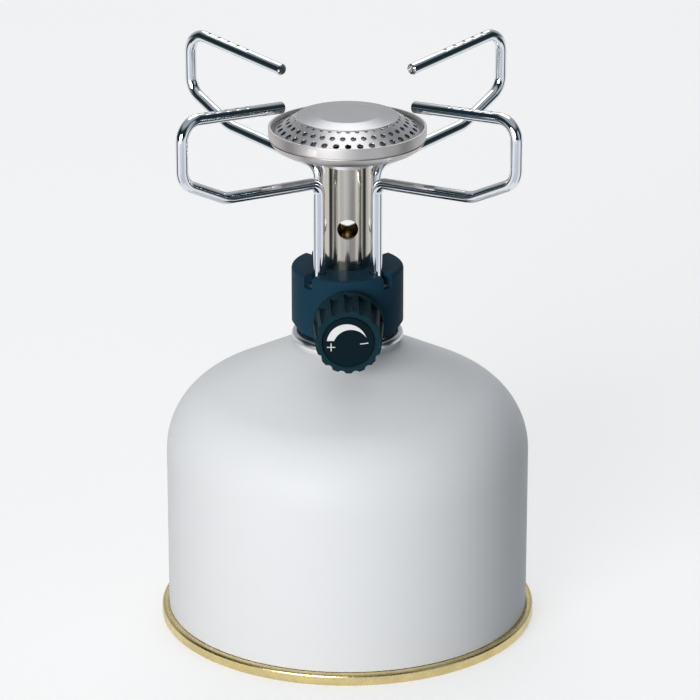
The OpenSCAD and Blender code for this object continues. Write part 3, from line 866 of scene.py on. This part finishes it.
@dataclass
class StoveBody:
    """Body cover, brass valve body and the plate that carries the supports."""

    radius: float = 16.15 * MM
    wall: float = 1.25 * MM
    height: float = 19.3 * MM
    deck: float = 2.9 * MM
    rounding: float = 1.2 * MM
    bevel_h: float = 2.6 * MM
    bevel_w: float = 1.7 * MM
    lip_w: float = 1.15 * MM
    lip_h: float = 0.6 * MM
    tube_hole_r: float = 6.77 * MM
    leg_reach: float = 11.55 * MM
    slot_w: float = 3.2 * MM
    leg_hole_r: float = 2.0 * MM
    arch_r: float = 5.727 * MM
    arch_side: float = 5.577 * MM
    arch_depth: float = 8.4 * MM
    spindle_h: float = 7.0 * MM
    cutter_len: float = 20.0 * MM
    edge: float = 0.14 * MM
    steps: int = 160
    plastic: Moulded = Moulded("cover_plastic", (0.012, 0.046, 0.076), 0.52, gloss=0.03)
    brass: Metal = Metal("turned_brass", (0.70, 0.52, 0.22), 0.24)
    steel: Metal = Metal("plain_steel", (0.52, 0.52, 0.53), 0.3)
    rubber: Moulded = Moulded("seal_rubber", (0.012, 0.012, 0.012), 0.6)
    screw: Metal = Metal("zinc_plate", (0.58, 0.58, 0.60), 0.25)

    def section(self, foot: float) -> Profile:
        """Run round the wall, deck and lip of the cover.

        Args:
            foot: Height of the cover's foot.

        Returns:
            A closed profile.
        """
        top = foot + self.height
        inner_r = self.radius - self.wall
        lip_r = self.radius - self.bevel_w - self.lip_w
        corner = (self.radius - self.rounding, top - self.rounding)
        points = [(self.radius - self.bevel_w, foot), (self.radius, foot + self.bevel_h),
                  (self.radius, foot + 0.5 * self.height), *arc(corner, self.rounding, 0, 90, 8),
                  (self.tube_hole_r + 2 * MM, top), (self.tube_hole_r, top),
                  (self.tube_hole_r, top - self.deck), (inner_r, top - self.deck),
                  (inner_r, foot + self.bevel_h + 0.3 * MM),
                  (lip_r, foot + self.lip_h), (lip_r, foot)]
        return points + points[:1]

    def cover(self) -> Piece:
        """Turn the cover and cut its slots and its arch.

        Returns:
            The body cover.
        """
        low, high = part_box("body_cover")
        piece = turn_profile("cover_shell", self.section(low.z), self.steps)
        slot = add_block((self.leg_reach, -self.slot_w / 2, high.z - self.deck - SPARE),
                         (self.radius + 5 * SPARE, self.slot_w / 2, high.z + SPARE))
        hole = add_bar(self.leg_hole_r, self.deck + 2 * SPARE, (self.leg_reach, 0, high.z - self.deck / 2))
        apply_boolean(slot, hole, "UNION")
        apply_boolean(piece, turned_copies(slot, [side.heading for side in Side]))
        axis_z = low.z + self.spindle_h
        arch_at = (0, -self.arch_depth - self.cutter_len / 2, axis_z)
        arch = add_bar(self.arch_r, self.cutter_len, arch_at, ALONG_Y, 64)
        way = add_block((-self.arch_side, -self.arch_depth - self.cutter_len, low.z - SPARE),
                        (self.arch_side, -self.arch_depth, axis_z))
        apply_boolean(arch, way, "UNION")
        apply_boolean(piece, arch)
        soften(piece, self.edge)
        return piece

    def build(self) -> None:
        """Model and dress the body."""
        finish_piece(self.cover(), "stove", ["body_cover"], self.plastic.make())
        dress(["valve_body", "gas_jet", "packing_nut"], self.brass.make())
        clips = [f"support_clip_{side.label}" for side in Side]
        dress(["arm_carrier", "jet_filter", *clips], self.steel.make())
        dress(["adapter_o_ring", "spindle_o_ring"], self.rubber.make())
        dress(["depressor_pin", "knob_screw"], self.screw.make())


@dataclass
class Burner:
    """Mixing tube, burner bowl and the perforated cap."""

    tube_r: float = 6.75 * MM
    tube_wall: float = 0.8 * MM
    tube_edge: float = 0.12 * MM
    air_hole_r: float = 3.0 * MM
    air_hole_h: float = 12.4 * MM
    rim_r: float = 22.6 * MM
    rim_round: float = 0.2 * MM
    band_h: float = 3.1 * MM
    sheet: float = 0.65 * MM
    groove: float = 0.4 * MM
    groove_depth: float = 0.7 * MM
    dish_in: float = 0.2 * MM
    foot_in: float = 2.65 * MM
    foot_h: float = 2.6 * MM
    bulge: float = 0.35 * MM
    collar_len: float = 3.2 * MM
    neck_bevel: float = 0.6 * MM
    seat_lap: float = 0.4 * MM
    cap_gap: float = 0.1 * MM
    flange_w: float = 0.55 * MM
    cap_drop: float = 1.35 * MM
    plateau_r: float = 9.0 * MM
    plateau_h: float = 3.6 * MM
    crown_h: float = 0.65 * MM
    lid_lap: float = 0.33 * MM
    lid_step: float = 0.25 * MM
    lid_round: float = 0.3 * MM
    lid_edge: float = 0.08 * MM
    port_slope: float = 31.8
    port_r: float = 0.9 * MM
    port_rows: int = 3
    port_count: int = 36
    port_margin: float = 0.8
    port_flare: float = 0.04 * MM
    port_widen: float = 1.6
    crimp_count: int = 3
    crimp_w: float = 2.5 * MM
    crimp_h: float = 1.15 * MM
    crimp_drop: float = 0.8 * MM
    crimp_depth: float = 0.28 * MM
    crimp_azimuth: float = -117.0
    steps: int = 144
    # The nickel's darker upright clouds are partly stain and partly a painted dark reflection streaking down
    # the tube
    nickel: Metal = Metal("bright_nickel", (0.72, 0.66, 0.58), 0.12, change=0.03, grain=Grain.UPRIGHT,
                          marks=2600, depth=1.5e-6, stain=0.45, clouds=420)
    steel: Metal = Metal("spun_steel", (0.58, 0.57, 0.58), 0.21, change=0.015, grain=Grain.RINGS,
                         marks=3600, depth=5e-7, stain=0.03)
    pressed: Metal = Metal("pressed_steel", (0.61, 0.58, 0.57), 0.4, change=0.03, grain=Grain.RINGS,
                           marks=2800, depth=1e-6, stain=0.05)

    @property
    def cap_edge_r(self) -> float:
        """Outside radius of the cap's flange."""
        return self.rim_r - self.sheet - self.cap_gap

    @property
    def cap_foot_r(self) -> float:
        """Radius where the perforated cone starts."""
        return self.cap_edge_r - self.flange_w

    def tube(self) -> Piece:
        """Turn the tube and drill its air holes.

        Returns:
            The mixing tube.
        """
        low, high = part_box("mixing_tube")
        deck_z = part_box("body_cover")[1].z
        inner_r = self.tube_r - self.tube_wall
        heights = [low.z, low.z + 9 * MM, low.z + 22 * MM, high.z]
        profile = [(self.tube_r, z) for z in heights] + [(inner_r, z) for z in heights[::-1]]
        piece = turn_profile("burner_tube", profile + profile[:1], 96)
        hole_z = deck_z + self.air_hole_h
        drill = add_bar(self.air_hole_r, 4 * self.tube_r, (0, 0, hole_z), ALONG_Y, 48)
        apply_boolean(piece, turned_copies(drill, [0, math.pi / 2]))
        soften(piece, self.tube_edge)
        return piece

    def bowl(self) -> Piece:
        """Turn the bowl and press its crimps.

        Returns:
            The burner bowl.
        """
        rim_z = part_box("burner_bowl")[1].z
        tube_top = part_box("mixing_tube")[1].z
        band_z = rim_z - self.band_h
        groove_z = band_z - self.groove
        collar_r = self.tube_r + FIT
        neck_r = collar_r + self.sheet
        neck_z = tube_top - self.sheet + 0.1 * MM
        foot_r, foot_z = self.rim_r - self.foot_in, groove_z - self.foot_h
        dish_r, groove_r = self.rim_r - self.dish_in, self.rim_r - self.groove_depth
        in_r = self.rim_r - self.sheet
        ledge_z = rim_z - self.cap_drop - self.sheet
        seat_r = self.cap_foot_r - self.seat_lap
        band_r = self.rim_r - self.rim_round
        rise = Vector((dish_r - foot_r, self.foot_h))
        outward = Vector((rise.y, -rise.x)).normalized() * self.bulge
        foot = Vector((foot_r, foot_z))
        dish = [foot + rise * i / 8 + outward * math.sin(math.pi * i / 8) for i in range(1, 9)]
        points = [(collar_r, tube_top - self.collar_len), (neck_r, tube_top - self.collar_len),
                  (neck_r, neck_z - self.neck_bevel), (neck_r + self.neck_bevel, neck_z),
                  (foot_r - 0.6 * MM, foot_z - 0.05 * MM), *dish,
                  (groove_r, groove_z), (groove_r, band_z), (band_r, band_z),
                  *arc((band_r, band_z + self.rim_round), self.rim_round, -90, 0, 3)[1:],
                  *arc((band_r, rim_z - self.rim_round), self.rim_round, 0, 90, 3),
                  (in_r, rim_z - 0.02 * MM), (in_r, ledge_z), (seat_r, ledge_z), (seat_r, groove_z),
                  (foot_r - self.sheet, foot_z + self.sheet), (collar_r, tube_top)]
        piece = turn_profile("burner_pan", points + points[:1], self.steps)
        first = math.radians(self.crimp_azimuth)
        angles = [first + i * FULL_TURN / self.crimp_count for i in range(self.crimp_count)]
        apply_boolean(piece, turned_copies(self.crimp_punch(rim_z - self.crimp_drop), angles))
        return piece

    def crimp_punch(self, top_z: float) -> Piece:
        """Make the punch of one crimp, which goes deepest along its upper edge.

        Args:
            top_z: Height of the crimp's upper edge.

        Returns:
            The punch, on +X.
        """
        low, high = self.rim_r - self.crimp_depth, self.rim_r + self.crimp_depth
        punch = add_block((low, -self.crimp_w / 2, top_z - 2 * self.crimp_h), (high, self.crimp_w / 2, top_z))
        with editing(punch):
            pick(punch, lambda spot: spot.x < self.rim_r and spot.z < top_z - self.crimp_h)
            # The foot of the inner face moves out almost to the outer face, so that the punch is a wedge
            bpy.ops.transform.translate(value=(1.98 * self.crimp_depth, 0, 0))
        return punch

    def cap(self) -> Piece:
        """Turn the perforated cone, punch its ports and set the lid on it.

        Returns:
            The burner cap.
        """
        rim_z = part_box("burner_bowl")[1].z
        foot_z = rim_z - self.cap_drop
        crown_z = rim_z + self.plateau_h - self.crown_h
        slope = math.radians(self.port_slope)
        crown_r = self.cap_foot_r - (crown_z - foot_z) / math.tan(slope)
        bend = self.sheet * math.tan(slope / 2)
        lip_r = crown_r - 2 * self.sheet
        profile = [(self.cap_edge_r, foot_z), (self.cap_foot_r + 0.1 * MM, foot_z),
                   (self.cap_foot_r - 0.15 * MM, foot_z + 0.093 * MM), (crown_r, crown_z), (lip_r, crown_z),
                   (lip_r, crown_z - self.sheet), (crown_r - bend, crown_z - self.sheet),
                   (self.cap_foot_r - bend, foot_z - self.sheet), (self.cap_edge_r, foot_z - self.sheet)]
        piece = turn_profile("burner_top", profile + profile[:1], self.steps)
        lid_r = crown_r + self.lid_lap
        self.punch_ports(piece, lid_r, foot_z)
        edge_z = crown_z - self.lid_lap * math.tan(slope) + self.lid_step
        apply_boolean(piece, self.lid(lid_r, edge_z, crown_z + self.crown_h), "UNION")
        return piece

    def punch_ports(self, piece: Piece, lid_r: float, foot_z: float) -> None:
        """Punch the rows of ports, the innermost half under the lid's edge.

        Args:
            piece: The cone.
            lid_r: Radius of the lid's edge.
            foot_z: Height of the cone's foot.
        """
        slope = math.radians(self.port_slope)
        spread = (self.cap_foot_r - lid_r) / (self.port_rows - 1 + self.port_margin)
        first_r = self.cap_foot_r - self.port_margin * spread
        pitch = FULL_TURN / self.port_count
        for row in range(self.port_rows):
            r = first_r - row * spread
            z = foot_z + (self.cap_foot_r - r) * math.tan(slope)
            punch = self.port_punch(self.port_r * r / first_r, (r, 0, z), slope)
            first = row / 2 * pitch - math.pi / 2
            apply_boolean(piece, turned_copies(punch, [first + i * pitch for i in range(self.port_count)]))

    def lid(self, lid_r: float, edge_z: float, top_z: float) -> Piece:
        """Turn the cap's lid, a flat middle and a bevel.

        Args:
            lid_r: Radius of its edge.
            edge_z: Height of its edge.
            top_z: Height of its middle.

        Returns:
            The lid.
        """
        fall = self.lid_round * (top_z - edge_z) / (lid_r - self.plateau_r)
        points = [(0, top_z - self.sheet), (self.plateau_r, top_z - self.sheet), (lid_r, edge_z - self.sheet),
                  (lid_r, edge_z - self.lid_edge), (lid_r - self.lid_edge, edge_z),
                  (self.plateau_r + self.lid_round, top_z - fall), (self.plateau_r, top_z - 0.3 * fall),
                  (self.plateau_r - self.lid_round, top_z), (self.plateau_r * 0.5, top_z), (0, top_z)]
        return turn_profile("burner_lid", points, self.steps)

    def port_punch(self, radius: float, place: Place, slope: float) -> Piece:
        """Make the punch of one port, wider where it enters the sheet.

        Args:
            radius: Radius of the port.
            place: Where the port lies on the cone.
            slope: Slope of the cone, in radians.

        Returns:
            The punch, set on the cone.
        """
        length = 6 * self.sheet
        punch = add_bar(radius, length, (0, 0, 0), sides=20)
        flare = self.port_flare
        wider = 1 + self.port_widen * flare / radius
        with editing(punch):
            pick(punch, lambda spot: spot.z > 0)
            bpy.ops.transform.translate(value=(0, 0, -length / 2 - flare))
            bpy.ops.mesh.extrude_region_move(TRANSFORM_OT_translate={"value": (0, 0, 2 * flare)})
            bpy.ops.transform.resize(value=(wider, wider, 1))
            bpy.ops.mesh.extrude_region_move(TRANSFORM_OT_translate={"value": (0, 0, length / 2)})
        punch.rotation_euler = (0, slope, 0)
        punch.location = place
        return settle(punch)

    def build(self) -> None:
        """Model and dress the burner."""
        finish_piece(self.tube(), "stove", ["mixing_tube"], self.nickel.make())
        finish_piece(self.bowl(), "stove", ["burner_bowl"], self.pressed.make(), sharp=28)
        finish_piece(self.cap(), "stove", ["burner_cap"], self.steel.make(), sharp=24)


@dataclass
class PotSupports:
    """Four arms bent from one wire, with notches on their upper bars."""

    wire_r: float = 1.7 * MM
    leg_reach: float = 11.55 * MM
    elbow_h: float = 27.0 * MM
    arm_reach: float = 64.6 * MM
    bend_reach: float = 48.3 * MM
    end_reach: float = 26.1 * MM
    bar_slope: float = 6.2
    kick_slope: float = 26.0
    upright_h: float = 17.74 * MM
    elbow_r: float = 4.0 * MM
    shallow_r: float = 12.0 * MM
    low_corner_r: float = 6.0 * MM
    top_corner_r: float = 5.5 * MM
    notch_count: int = 5
    notch_pitch: float = 3.95 * MM
    notch_start: float = 8.6 * MM
    notch_r: float = 0.8 * MM
    notch_depth: float = 0.4 * MM
    groove_gap: float = 0.15 * MM
    groove_depth: float = 0.45 * MM
    tip: float = 0.35 * MM
    bend_step: float = 5.0
    sides: int = 28
    chrome: Metal = Metal("bright_chrome", (0.80, 0.82, 0.86), 0.07, change=0.02, marks=1200, depth=1e-6,
                          stain=0.05)

    def corners(self) -> list[tuple[float, float, float]]:
        """List the corners of one arm.

        Returns:
            Distance from the burner's axis, height and bend radius of each.
        """
        deck_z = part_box("body_cover")[1].z
        leg_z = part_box("pot_support_front_left")[0].z
        bar = math.tan(math.radians(self.bar_slope))
        elbow_z = deck_z + self.elbow_h
        bend_z = elbow_z + (self.bend_reach - self.leg_reach) * bar
        low_z = bend_z + (self.arm_reach - self.bend_reach) * math.tan(math.radians(self.kick_slope))
        top_z = low_z + self.upright_h
        end_z = top_z - (self.arm_reach - self.end_reach) * bar
        return [(self.leg_reach, leg_z, 0), (self.leg_reach, elbow_z, self.elbow_r),
                (self.bend_reach, bend_z, self.shallow_r), (self.arm_reach, low_z, self.low_corner_r),
                (self.arm_reach, top_z, self.top_corner_r), (self.end_reach, end_z, 0)]

    def bent_wire(self) -> Piece:
        """Draw the wire out straight by straight and bend it at each corner.

        Returns:
            The wire of an arm that points along +X.
        """
        path = self.corners()
        deselect()
        bpy.ops.mesh.primitive_circle_add(vertices=self.sides, radius=self.wire_r, fill_type="NOTHING",
                                          location=(path[0][0], 0, path[0][1]))
        piece = settle(bpy.context.active_object)
        piece.name = "support_wire"
        here = Vector((path[0][0], path[0][1]))
        with editing(piece):
            bpy.ops.mesh.select_all(action="SELECT")
            for before, corner, after in zip(path, path[1:], path[2:]):
                middle = Vector(corner[:2])
                way_in = (middle - Vector(before[:2])).normalized()
                way_out = (Vector(after[:2]) - middle).normalized()
                turn = math.atan2(way_in.x * way_out.y - way_in.y * way_out.x, way_in.dot(way_out))
                start = middle - way_in * corner[2] * math.tan(abs(turn) / 2)
                self.draw_out(start - here)
                inward = Vector((-way_in.y, way_in.x)) * math.copysign(corner[2], turn)
                pivot = start + inward
                steps = max(4, round(abs(math.degrees(turn)) / self.bend_step))
                bpy.ops.mesh.spin(steps=steps, angle=turn, center=(pivot.x, 0, pivot.y), axis=(0, 1, 0))
                here = middle + way_out * corner[2] * math.tan(abs(turn) / 2)
            last = Vector(path[-1][:2])
            way = (last - here).normalized()
            self.draw_out(last - way * self.tip - here)
            self.draw_out(way * self.tip)
            narrower = 1 - self.tip / self.wire_r
            bpy.ops.transform.resize(value=(narrower,) * 3, center_override=(last.x, 0, last.y))
            bpy.ops.mesh.edge_face_add()
            foot = path[0][1]
            pick(piece, lambda spot: spot.z < foot + 0.01 * MM)
            bpy.ops.mesh.edge_face_add()
        return close_up(piece)

    def draw_out(self, step: Vector) -> None:
        """Extrude the selected end of the wire.

        Args:
            step: Way along X and Z.
        """
        bpy.ops.mesh.extrude_region_move(TRANSFORM_OT_translate={"value": (step.x, 0, step.y)})

    def notch(self, wire: Piece) -> None:
        """Cut the notches in the top of the upper bar.

        Args:
            wire: The wire to cut.
        """
        top = self.corners()[-2]
        slope = math.radians(self.bar_slope)
        along = Vector((-math.cos(slope), 0, -math.sin(slope)))
        upward = Vector((-math.sin(slope), 0, math.cos(slope)))
        for i in range(self.notch_count):
            place = (Vector((top[0], 0, top[1])) + along * (self.notch_start + i * self.notch_pitch)
                     + upward * (self.wire_r + self.notch_r - self.notch_depth))
            apply_boolean(wire, add_bar(self.notch_r, 4 * self.wire_r, place, ALONG_Y, 24))

    def groove(self, wire: Piece) -> None:
        """Turn the clip's groove near the leg's foot.

        Args:
            wire: The wire to cut.
        """
        low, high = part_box("support_clip_front_left")
        width = high.z - low.z + self.groove_gap
        middle = (self.leg_reach, 0, (low.z + high.z) / 2)
        cutter = add_bar(2 * self.wire_r, width, middle, sides=48)
        core = add_bar(self.wire_r - self.groove_depth, 3 * width, middle, sides=48)
        apply_boolean(cutter, core)
        apply_boolean(wire, cutter)

    def build(self) -> None:
        """Model one arm, copy it round and dress the four."""
        chrome = self.chrome.make()
        wire = self.bent_wire()
        self.notch(wire)
        self.groove(wire)
        for side in Side:
            activate(wire)
            bpy.ops.object.duplicate()
            arm = bpy.context.active_object
            arm.name = f"support_wire_{side.label}"
            arm.rotation_euler.z = side.heading
            settle(arm)
            finish_piece(arm, f"support_{side.label}", [f"pot_support_{side.label}"], chrome)
        bpy.data.objects.remove(wire)


@dataclass
class ValveKnob:
    """Fluted knob with its printed front plate, on the valve spindle."""

    length: float = 14.5 * MM
    ring_r: float = 10.3 * MM
    ring_w: float = 1.9 * MM
    front_r: float = 9.45 * MM
    edge: float = 0.6 * MM
    front_edge: float = 0.3 * MM
    mouth_w: float = 0.35 * MM
    mouth_h: float = 0.4 * MM
    hub_r: float = 4.2 * MM
    inner_r: float = 7.75 * MM
    web_s: float = 8.3 * MM
    bore_r: float = 2.32 * MM
    shank_s: float = 7.1 * MM
    screw_r: float = 1.29 * MM
    head_r: float = 2.7 * MM
    head_s: float = 10.9 * MM
    cap_r: float = 7.3 * MM
    cap_t: float = 1.4 * MM
    cap_round: float = 0.35 * MM
    flute_count: int = 15
    flute_r: float = 1.25 * MM
    flute_mid_r: float = 9.95 * MM
    flute_edge: float = 0.22 * MM
    print_h: float = 0.03 * MM
    print_edge: float = 0.02 * MM
    stroke: float = 0.28 * MM
    crescent_r: float = 5.69 * MM
    crescent_mid: Spot = (-0.5 * MM, -0.25 * MM)
    crescent_foot: float = 0.45 * MM
    hollow_r: float = 5.08 * MM
    hollow_mid: Spot = (0.65 * MM, -1.31 * MM)
    plus_mid: Spot = (-4.96 * MM, -1.44 * MM)
    plus_half: float = 1.2 * MM
    minus_mid: Spot = (4.35 * MM, -0.35 * MM)
    minus_half: float = 1.16 * MM
    minus_tilt: float = 7.0
    steps: int = 180
    plastic: Moulded = Moulded("knob_plastic", (0.010, 0.035, 0.047), 0.5, gloss=0.03)
    cap_plastic: Moulded = Moulded("knob_cap_plastic", (0.004, 0.014, 0.020), 0.5, gloss=0.04)
    ink: Moulded = Moulded("white_print", (0.86, 0.86, 0.87), 0.5, skin=4e-6)
    brass: Metal = Metal("spindle_brass", (0.70, 0.52, 0.22), 0.22)

    def stand(self, piece: Piece) -> Piece:
        """Lay a piece that was made about Z along the spindle, with its foot at the knob's back.

        Args:
            piece: The piece to lay.

        Returns:
            The same piece, in place.
        """
        low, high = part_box("knob")
        piece.rotation_euler = ALONG_Y
        piece.location = (0, high.y, (low.z + high.z) / 2)
        return settle(piece)

    def grip(self) -> Piece:
        """Turn the knob and mill its flutes.

        Returns:
            The knob.
        """
        front = self.length
        seat = front - self.cap_t
        points = [(self.hub_r, 0), (self.hub_r, self.web_s), (self.inner_r, self.web_s), (self.inner_r, 0),
                  (self.ring_r - self.edge, 0), (self.ring_r, self.edge), (self.ring_r, self.ring_w),
                  (self.ring_r - 0.2 * MM, self.ring_w + 0.05 * MM), (self.front_r, front - self.front_edge),
                  (self.front_r - self.front_edge, front), (self.cap_r + self.mouth_w, front),
                  (self.cap_r + FIT, front - self.mouth_h), (self.cap_r + FIT, seat), (self.head_r, seat),
                  (self.head_r, self.head_s), (self.screw_r, self.head_s), (self.screw_r, self.shank_s),
                  (self.bore_r, self.shank_s), (self.bore_r, 0)]
        piece = turn_profile("knob_grip", points + points[:1], self.steps)
        cut_len = 2 * self.length
        flute_at = (0, self.flute_mid_r, self.ring_w + cut_len / 2)
        flute = add_bar(self.flute_r, cut_len, flute_at, sides=24)
        block = add_block((-self.flute_r, self.flute_mid_r, self.ring_w),
                          (self.flute_r, self.flute_mid_r + 4 * SPARE, self.ring_w + cut_len))
        apply_boolean(flute, block, "UNION")
        step = FULL_TURN / self.flute_count
        apply_boolean(piece, turned_copies(flute, [i * step for i in range(self.flute_count)]))
        soften(piece, self.flute_edge, angle=40)
        return self.stand(piece)

    def front_plate(self) -> Piece:
        """Turn the front plate.

        Returns:
            The knob's cap.
        """
        low, top = self.length - self.cap_t, self.length - self.print_h
        corner = (self.cap_r - self.cap_round, top - self.cap_round)
        points = [(0, low), (self.cap_r, low), (self.cap_r, corner[1]),
                  *arc(corner, self.cap_round, 0, 90, 4)[1:],
                  (self.cap_r - 0.9 * MM, top), (self.cap_r * 0.5, top), (0, top)]
        return self.stand(turn_profile("knob_front", points, 128))

    def crescent(self) -> Piece:
        """Cut the print's crescent out of a thin disc.

        Returns:
            The crescent.
        """
        middle_z = self.length - self.print_h
        disc = add_bar(self.crescent_r, 2 * self.print_h, (*self.crescent_mid, middle_z), sides=128)
        disc.name = "print_crescent"
        apply_boolean(disc, add_bar(self.hollow_r, SPARE, (*self.hollow_mid, middle_z), sides=128))
        out = 2 * self.crescent_r
        lower = add_block((-out, -out, middle_z - SPARE), (out, self.crescent_foot, middle_z + SPARE))
        apply_boolean(disc, lower)
        return self.stand(disc)

    def sign(self, name: str, middle: Spot, half: float, crossed: bool, tilt: float) -> Piece:
        """Make a plus or a minus of the print.

        Args:
            name: Name of the piece.
            middle: Its middle on the front plate.
            half: Half its length.
            crossed: Whether it has an upright stroke too.
            tilt: Its turn, in degrees.

        Returns:
            The sign.
        """
        top = self.length
        low = top - 2 * self.print_h
        side = self.stroke / 2
        piece = add_block((-half, -side, low), (half, side, top))
        if crossed:
            apply_boolean(piece, add_block((-side, -half, low), (side, half, top)), "UNION")
        piece.name = name
        soften(piece, self.print_edge, segments=1, angle=60)
        piece.rotation_euler.z = math.radians(tilt)
        piece.location = (*middle, 0)
        return self.stand(settle(piece))

    def build(self) -> None:
        """Model and dress the knob."""
        finish_piece(self.grip(), "valve_knob", ["knob"], self.plastic.make())
        finish_piece(self.front_plate(), "valve_knob", ["knob_cap"], self.cap_plastic.make())
        ink = self.ink.make()
        plus = self.sign("print_plus", self.plus_mid, self.plus_half, True, 0)
        minus = self.sign("print_minus", self.minus_mid, self.minus_half, False, self.minus_tilt)
        for mark in (self.crescent(), plus, minus):
            finish_piece(mark, "valve_knob", [], ink)
        dress(["spindle"], self.brass.make())


# Studio


@dataclass
class Softbox:
    """One large soft lamp.

    Attributes:
        name: Its name.
        place: Where it hangs.
        size: Its width.
        tall: Its height.
        power: Its power, in watts.
        colour: Colour of its light.
    """

    name: str
    place: Place
    size: float
    tall: float
    power: float
    colour: Colour = (1.0, 1.0, 1.0)

    def build(self, aim: Vector) -> None:
        """Hang the lamp and point it.

        Args:
            aim: Where it points.
        """
        deselect()
        bpy.ops.object.light_add(type="AREA", location=self.place)
        lamp = bpy.context.active_object
        lamp.name = self.name
        lamp.data.shape = "ELLIPSE"
        lamp.data.size = self.size
        lamp.data.size_y = self.tall
        lamp.data.energy = self.power
        lamp.data.color = self.colour
        lamp.rotation_mode = "QUATERNION"
        lamp.rotation_quaternion = (aim - Vector(self.place)).to_track_quat("-Z", "Y")


@dataclass
class Studio:
    """Pale floor, soft light, pale surroundings and the camera."""

    floor_size: float = 8.0
    floor_colour: Colour = (0.5, 0.5, 0.5)
    floor_glow: float = 0.55
    front_colour: Colour = (0.66, 0.69, 0.76)
    side_colour: Colour = (0.03, 0.05, 0.06)
    dim_from: Spot = (0.17, 0.2)
    front_half: Spot = (0.5, 0.8)
    side_half: Spot = (0.12, 0.3)
    backdrop_glow: float = 0.88
    backdrop_levels: Spot = (0.55, 0.45)
    room_levels: Spot = (0.01, 0.42)
    ceiling_from: Spot = (0.6, 0.82)
    dark: Colour = (0.004, 0.018, 0.024)
    pale: Colour = (0.93, 0.965, 1.0)
    target: Place = (0.72 * MM, 0.0, 81.85 * MM)
    distance: float = 1.14447
    elevation: float = 20.379
    azimuth: float = -0.63
    lens: float = 202.62
    sensor: float = 36.0
    lamps: tuple[Softbox, ...] = (
        Softbox("key_lamp", (-0.68, -1.42, 0.45), 1.1, 0.8, 22.0),
        Softbox("fill_lamp", (1.4, -0.9, 0.6), 1.1, 1.1, 1.5, (0.78, 0.9, 1.0)),
        Softbox("top_lamp", (0.0, 0.72, 1.25), 1.0, 1.5, 5.8),
    )

    def floor(self) -> None:
        """Lay the floor."""
        deselect()
        bpy.ops.mesh.primitive_plane_add(size=self.floor_size, location=(0, 0, 0))
        plane = bpy.context.active_object
        plane.name = "floor"
        bench = MaterialBench("pale_floor")
        clouds = bench.noise(bench.place, 3, 2)
        plain = bench.blend(clouds, self.floor_colour, scaled(self.floor_colour, 0.99))
        bench.shader_set(
            Base_Color=self.dim_floor(bench, plain, self.floor_colour[0]),
            Roughness=0.9,
            Specular_IOR_Level=0.1,
            Emission_Color=self.dim_floor(bench, (1.0, 1.0, 1.0), 1.0),
            Emission_Strength=bench.math("MULTIPLY", bench.seen(), self.floor_glow),
        )
        plane.data.materials.append(bench.material)

    def dim_floor(self, bench: MaterialBench, plain: Socket | Colour, share: float) -> Socket:
        """Dim the floor in front and at the sides, outside the picture and for rays by way of metal.

        Args:
            bench: The floor's material in the making.
            plain: Colour of the floor elsewhere.
            share: What the dim colours are multiplied by.

        Returns:
            The colour's socket.
        """
        x, y, _ = bench.parts(bench.place)
        heading = bench.math("ABSOLUTE", bench.math("ARCTAN2", x, bench.math("MULTIPLY", y, -1.0)))
        aside = bench.math("ABSOLUTE", bench.math("SUBTRACT", heading, math.pi / 2))
        reach = bench.math("ADD", bench.math("ABSOLUTE", x), bench.math("ABSOLUTE", y))
        rays = bench.tree.nodes.new("ShaderNodeLightPath").outputs
        shown = bench.math("MULTIPLY", bench.spread(reach, *self.dim_from, 0, 1), rays["Is Glossy Ray"])
        front = bench.math("MULTIPLY", shown, bench.spread(heading, *self.front_half, 1, 0))
        side = bench.math("MULTIPLY", shown, bench.spread(aside, *self.side_half, 1, 0))
        dimmed = bench.blend(front, plain, scaled(self.front_colour, share))
        return bench.blend(side, dimmed, scaled(self.side_colour, share))

    def surroundings(self) -> None:
        """Paint the room: a pale backdrop, and a dark room with a pale ceiling behind the camera."""
        world = bpy.data.worlds.new("studio")
        bpy.context.scene.world = world
        world.use_nodes = True
        bench = NodeBench(world.node_tree, "Generated")
        output = bench.tree.nodes.new("ShaderNodeOutputWorld")
        sky = bench.tree.nodes.new("ShaderNodeBackground")
        _, along, upward = bench.parts(bench.place)
        backdrop = bench.spread(upward, 0, 0.7, *self.backdrop_levels)
        room = bench.spread(upward, *self.ceiling_from, *self.room_levels)
        behind = bench.spread(along, 0.3, 0.7, 0, 1)
        level = bench.math("ADD", bench.math("MULTIPLY", behind, backdrop),
                           bench.math("MULTIPLY", bench.math("SUBTRACT", 1, behind), room))
        straight = bench.tree.nodes.new("ShaderNodeLightPath").outputs["Is Camera Ray"]
        shown = bench.math("MAXIMUM", level, bench.math("MULTIPLY", straight, self.backdrop_glow))
        bench.feed(sky.inputs["Color"], bench.blend(shown, self.dark, self.pale))
        bench.feed(sky.inputs["Strength"], 1.0)
        bench.tree.links.new(sky.outputs["Background"], output.inputs["Surface"])

    def camera(self) -> None:
        """Set up the camera at the photograph's viewing angle."""
        azimuth, elevation = math.radians(self.azimuth), math.radians(self.elevation)
        back = Vector((math.sin(azimuth) * math.cos(elevation), -math.cos(azimuth) * math.cos(elevation),
                       math.sin(elevation)))
        deselect()
        bpy.ops.object.camera_add(location=Vector(self.target) + back * self.distance)
        camera = bpy.context.active_object
        camera.rotation_mode = "QUATERNION"
        camera.rotation_quaternion = (-back).to_track_quat("-Z", "Y")
        camera.data.sensor_width = self.sensor
        camera.data.lens = self.lens
        bpy.context.scene.camera = camera

    def build(self) -> None:
        """Set up the whole studio."""
        bpy.context.scene.view_settings.view_transform = "Standard"
        self.floor()
        self.surroundings()
        for lamp in self.lamps:
            lamp.build(Vector(self.target))
        self.camera()


def main() -> None:
    """Build every sub-assembly and the studio, in order."""
    logging.basicConfig(level=logging.INFO, format="%(message)s")
    for assembly in (Canister(), StoveBody(), Burner(), PotSupports(), ValveKnob()):
        assembly.build()
    Studio().build()


if __name__ == "__main__":
    main()
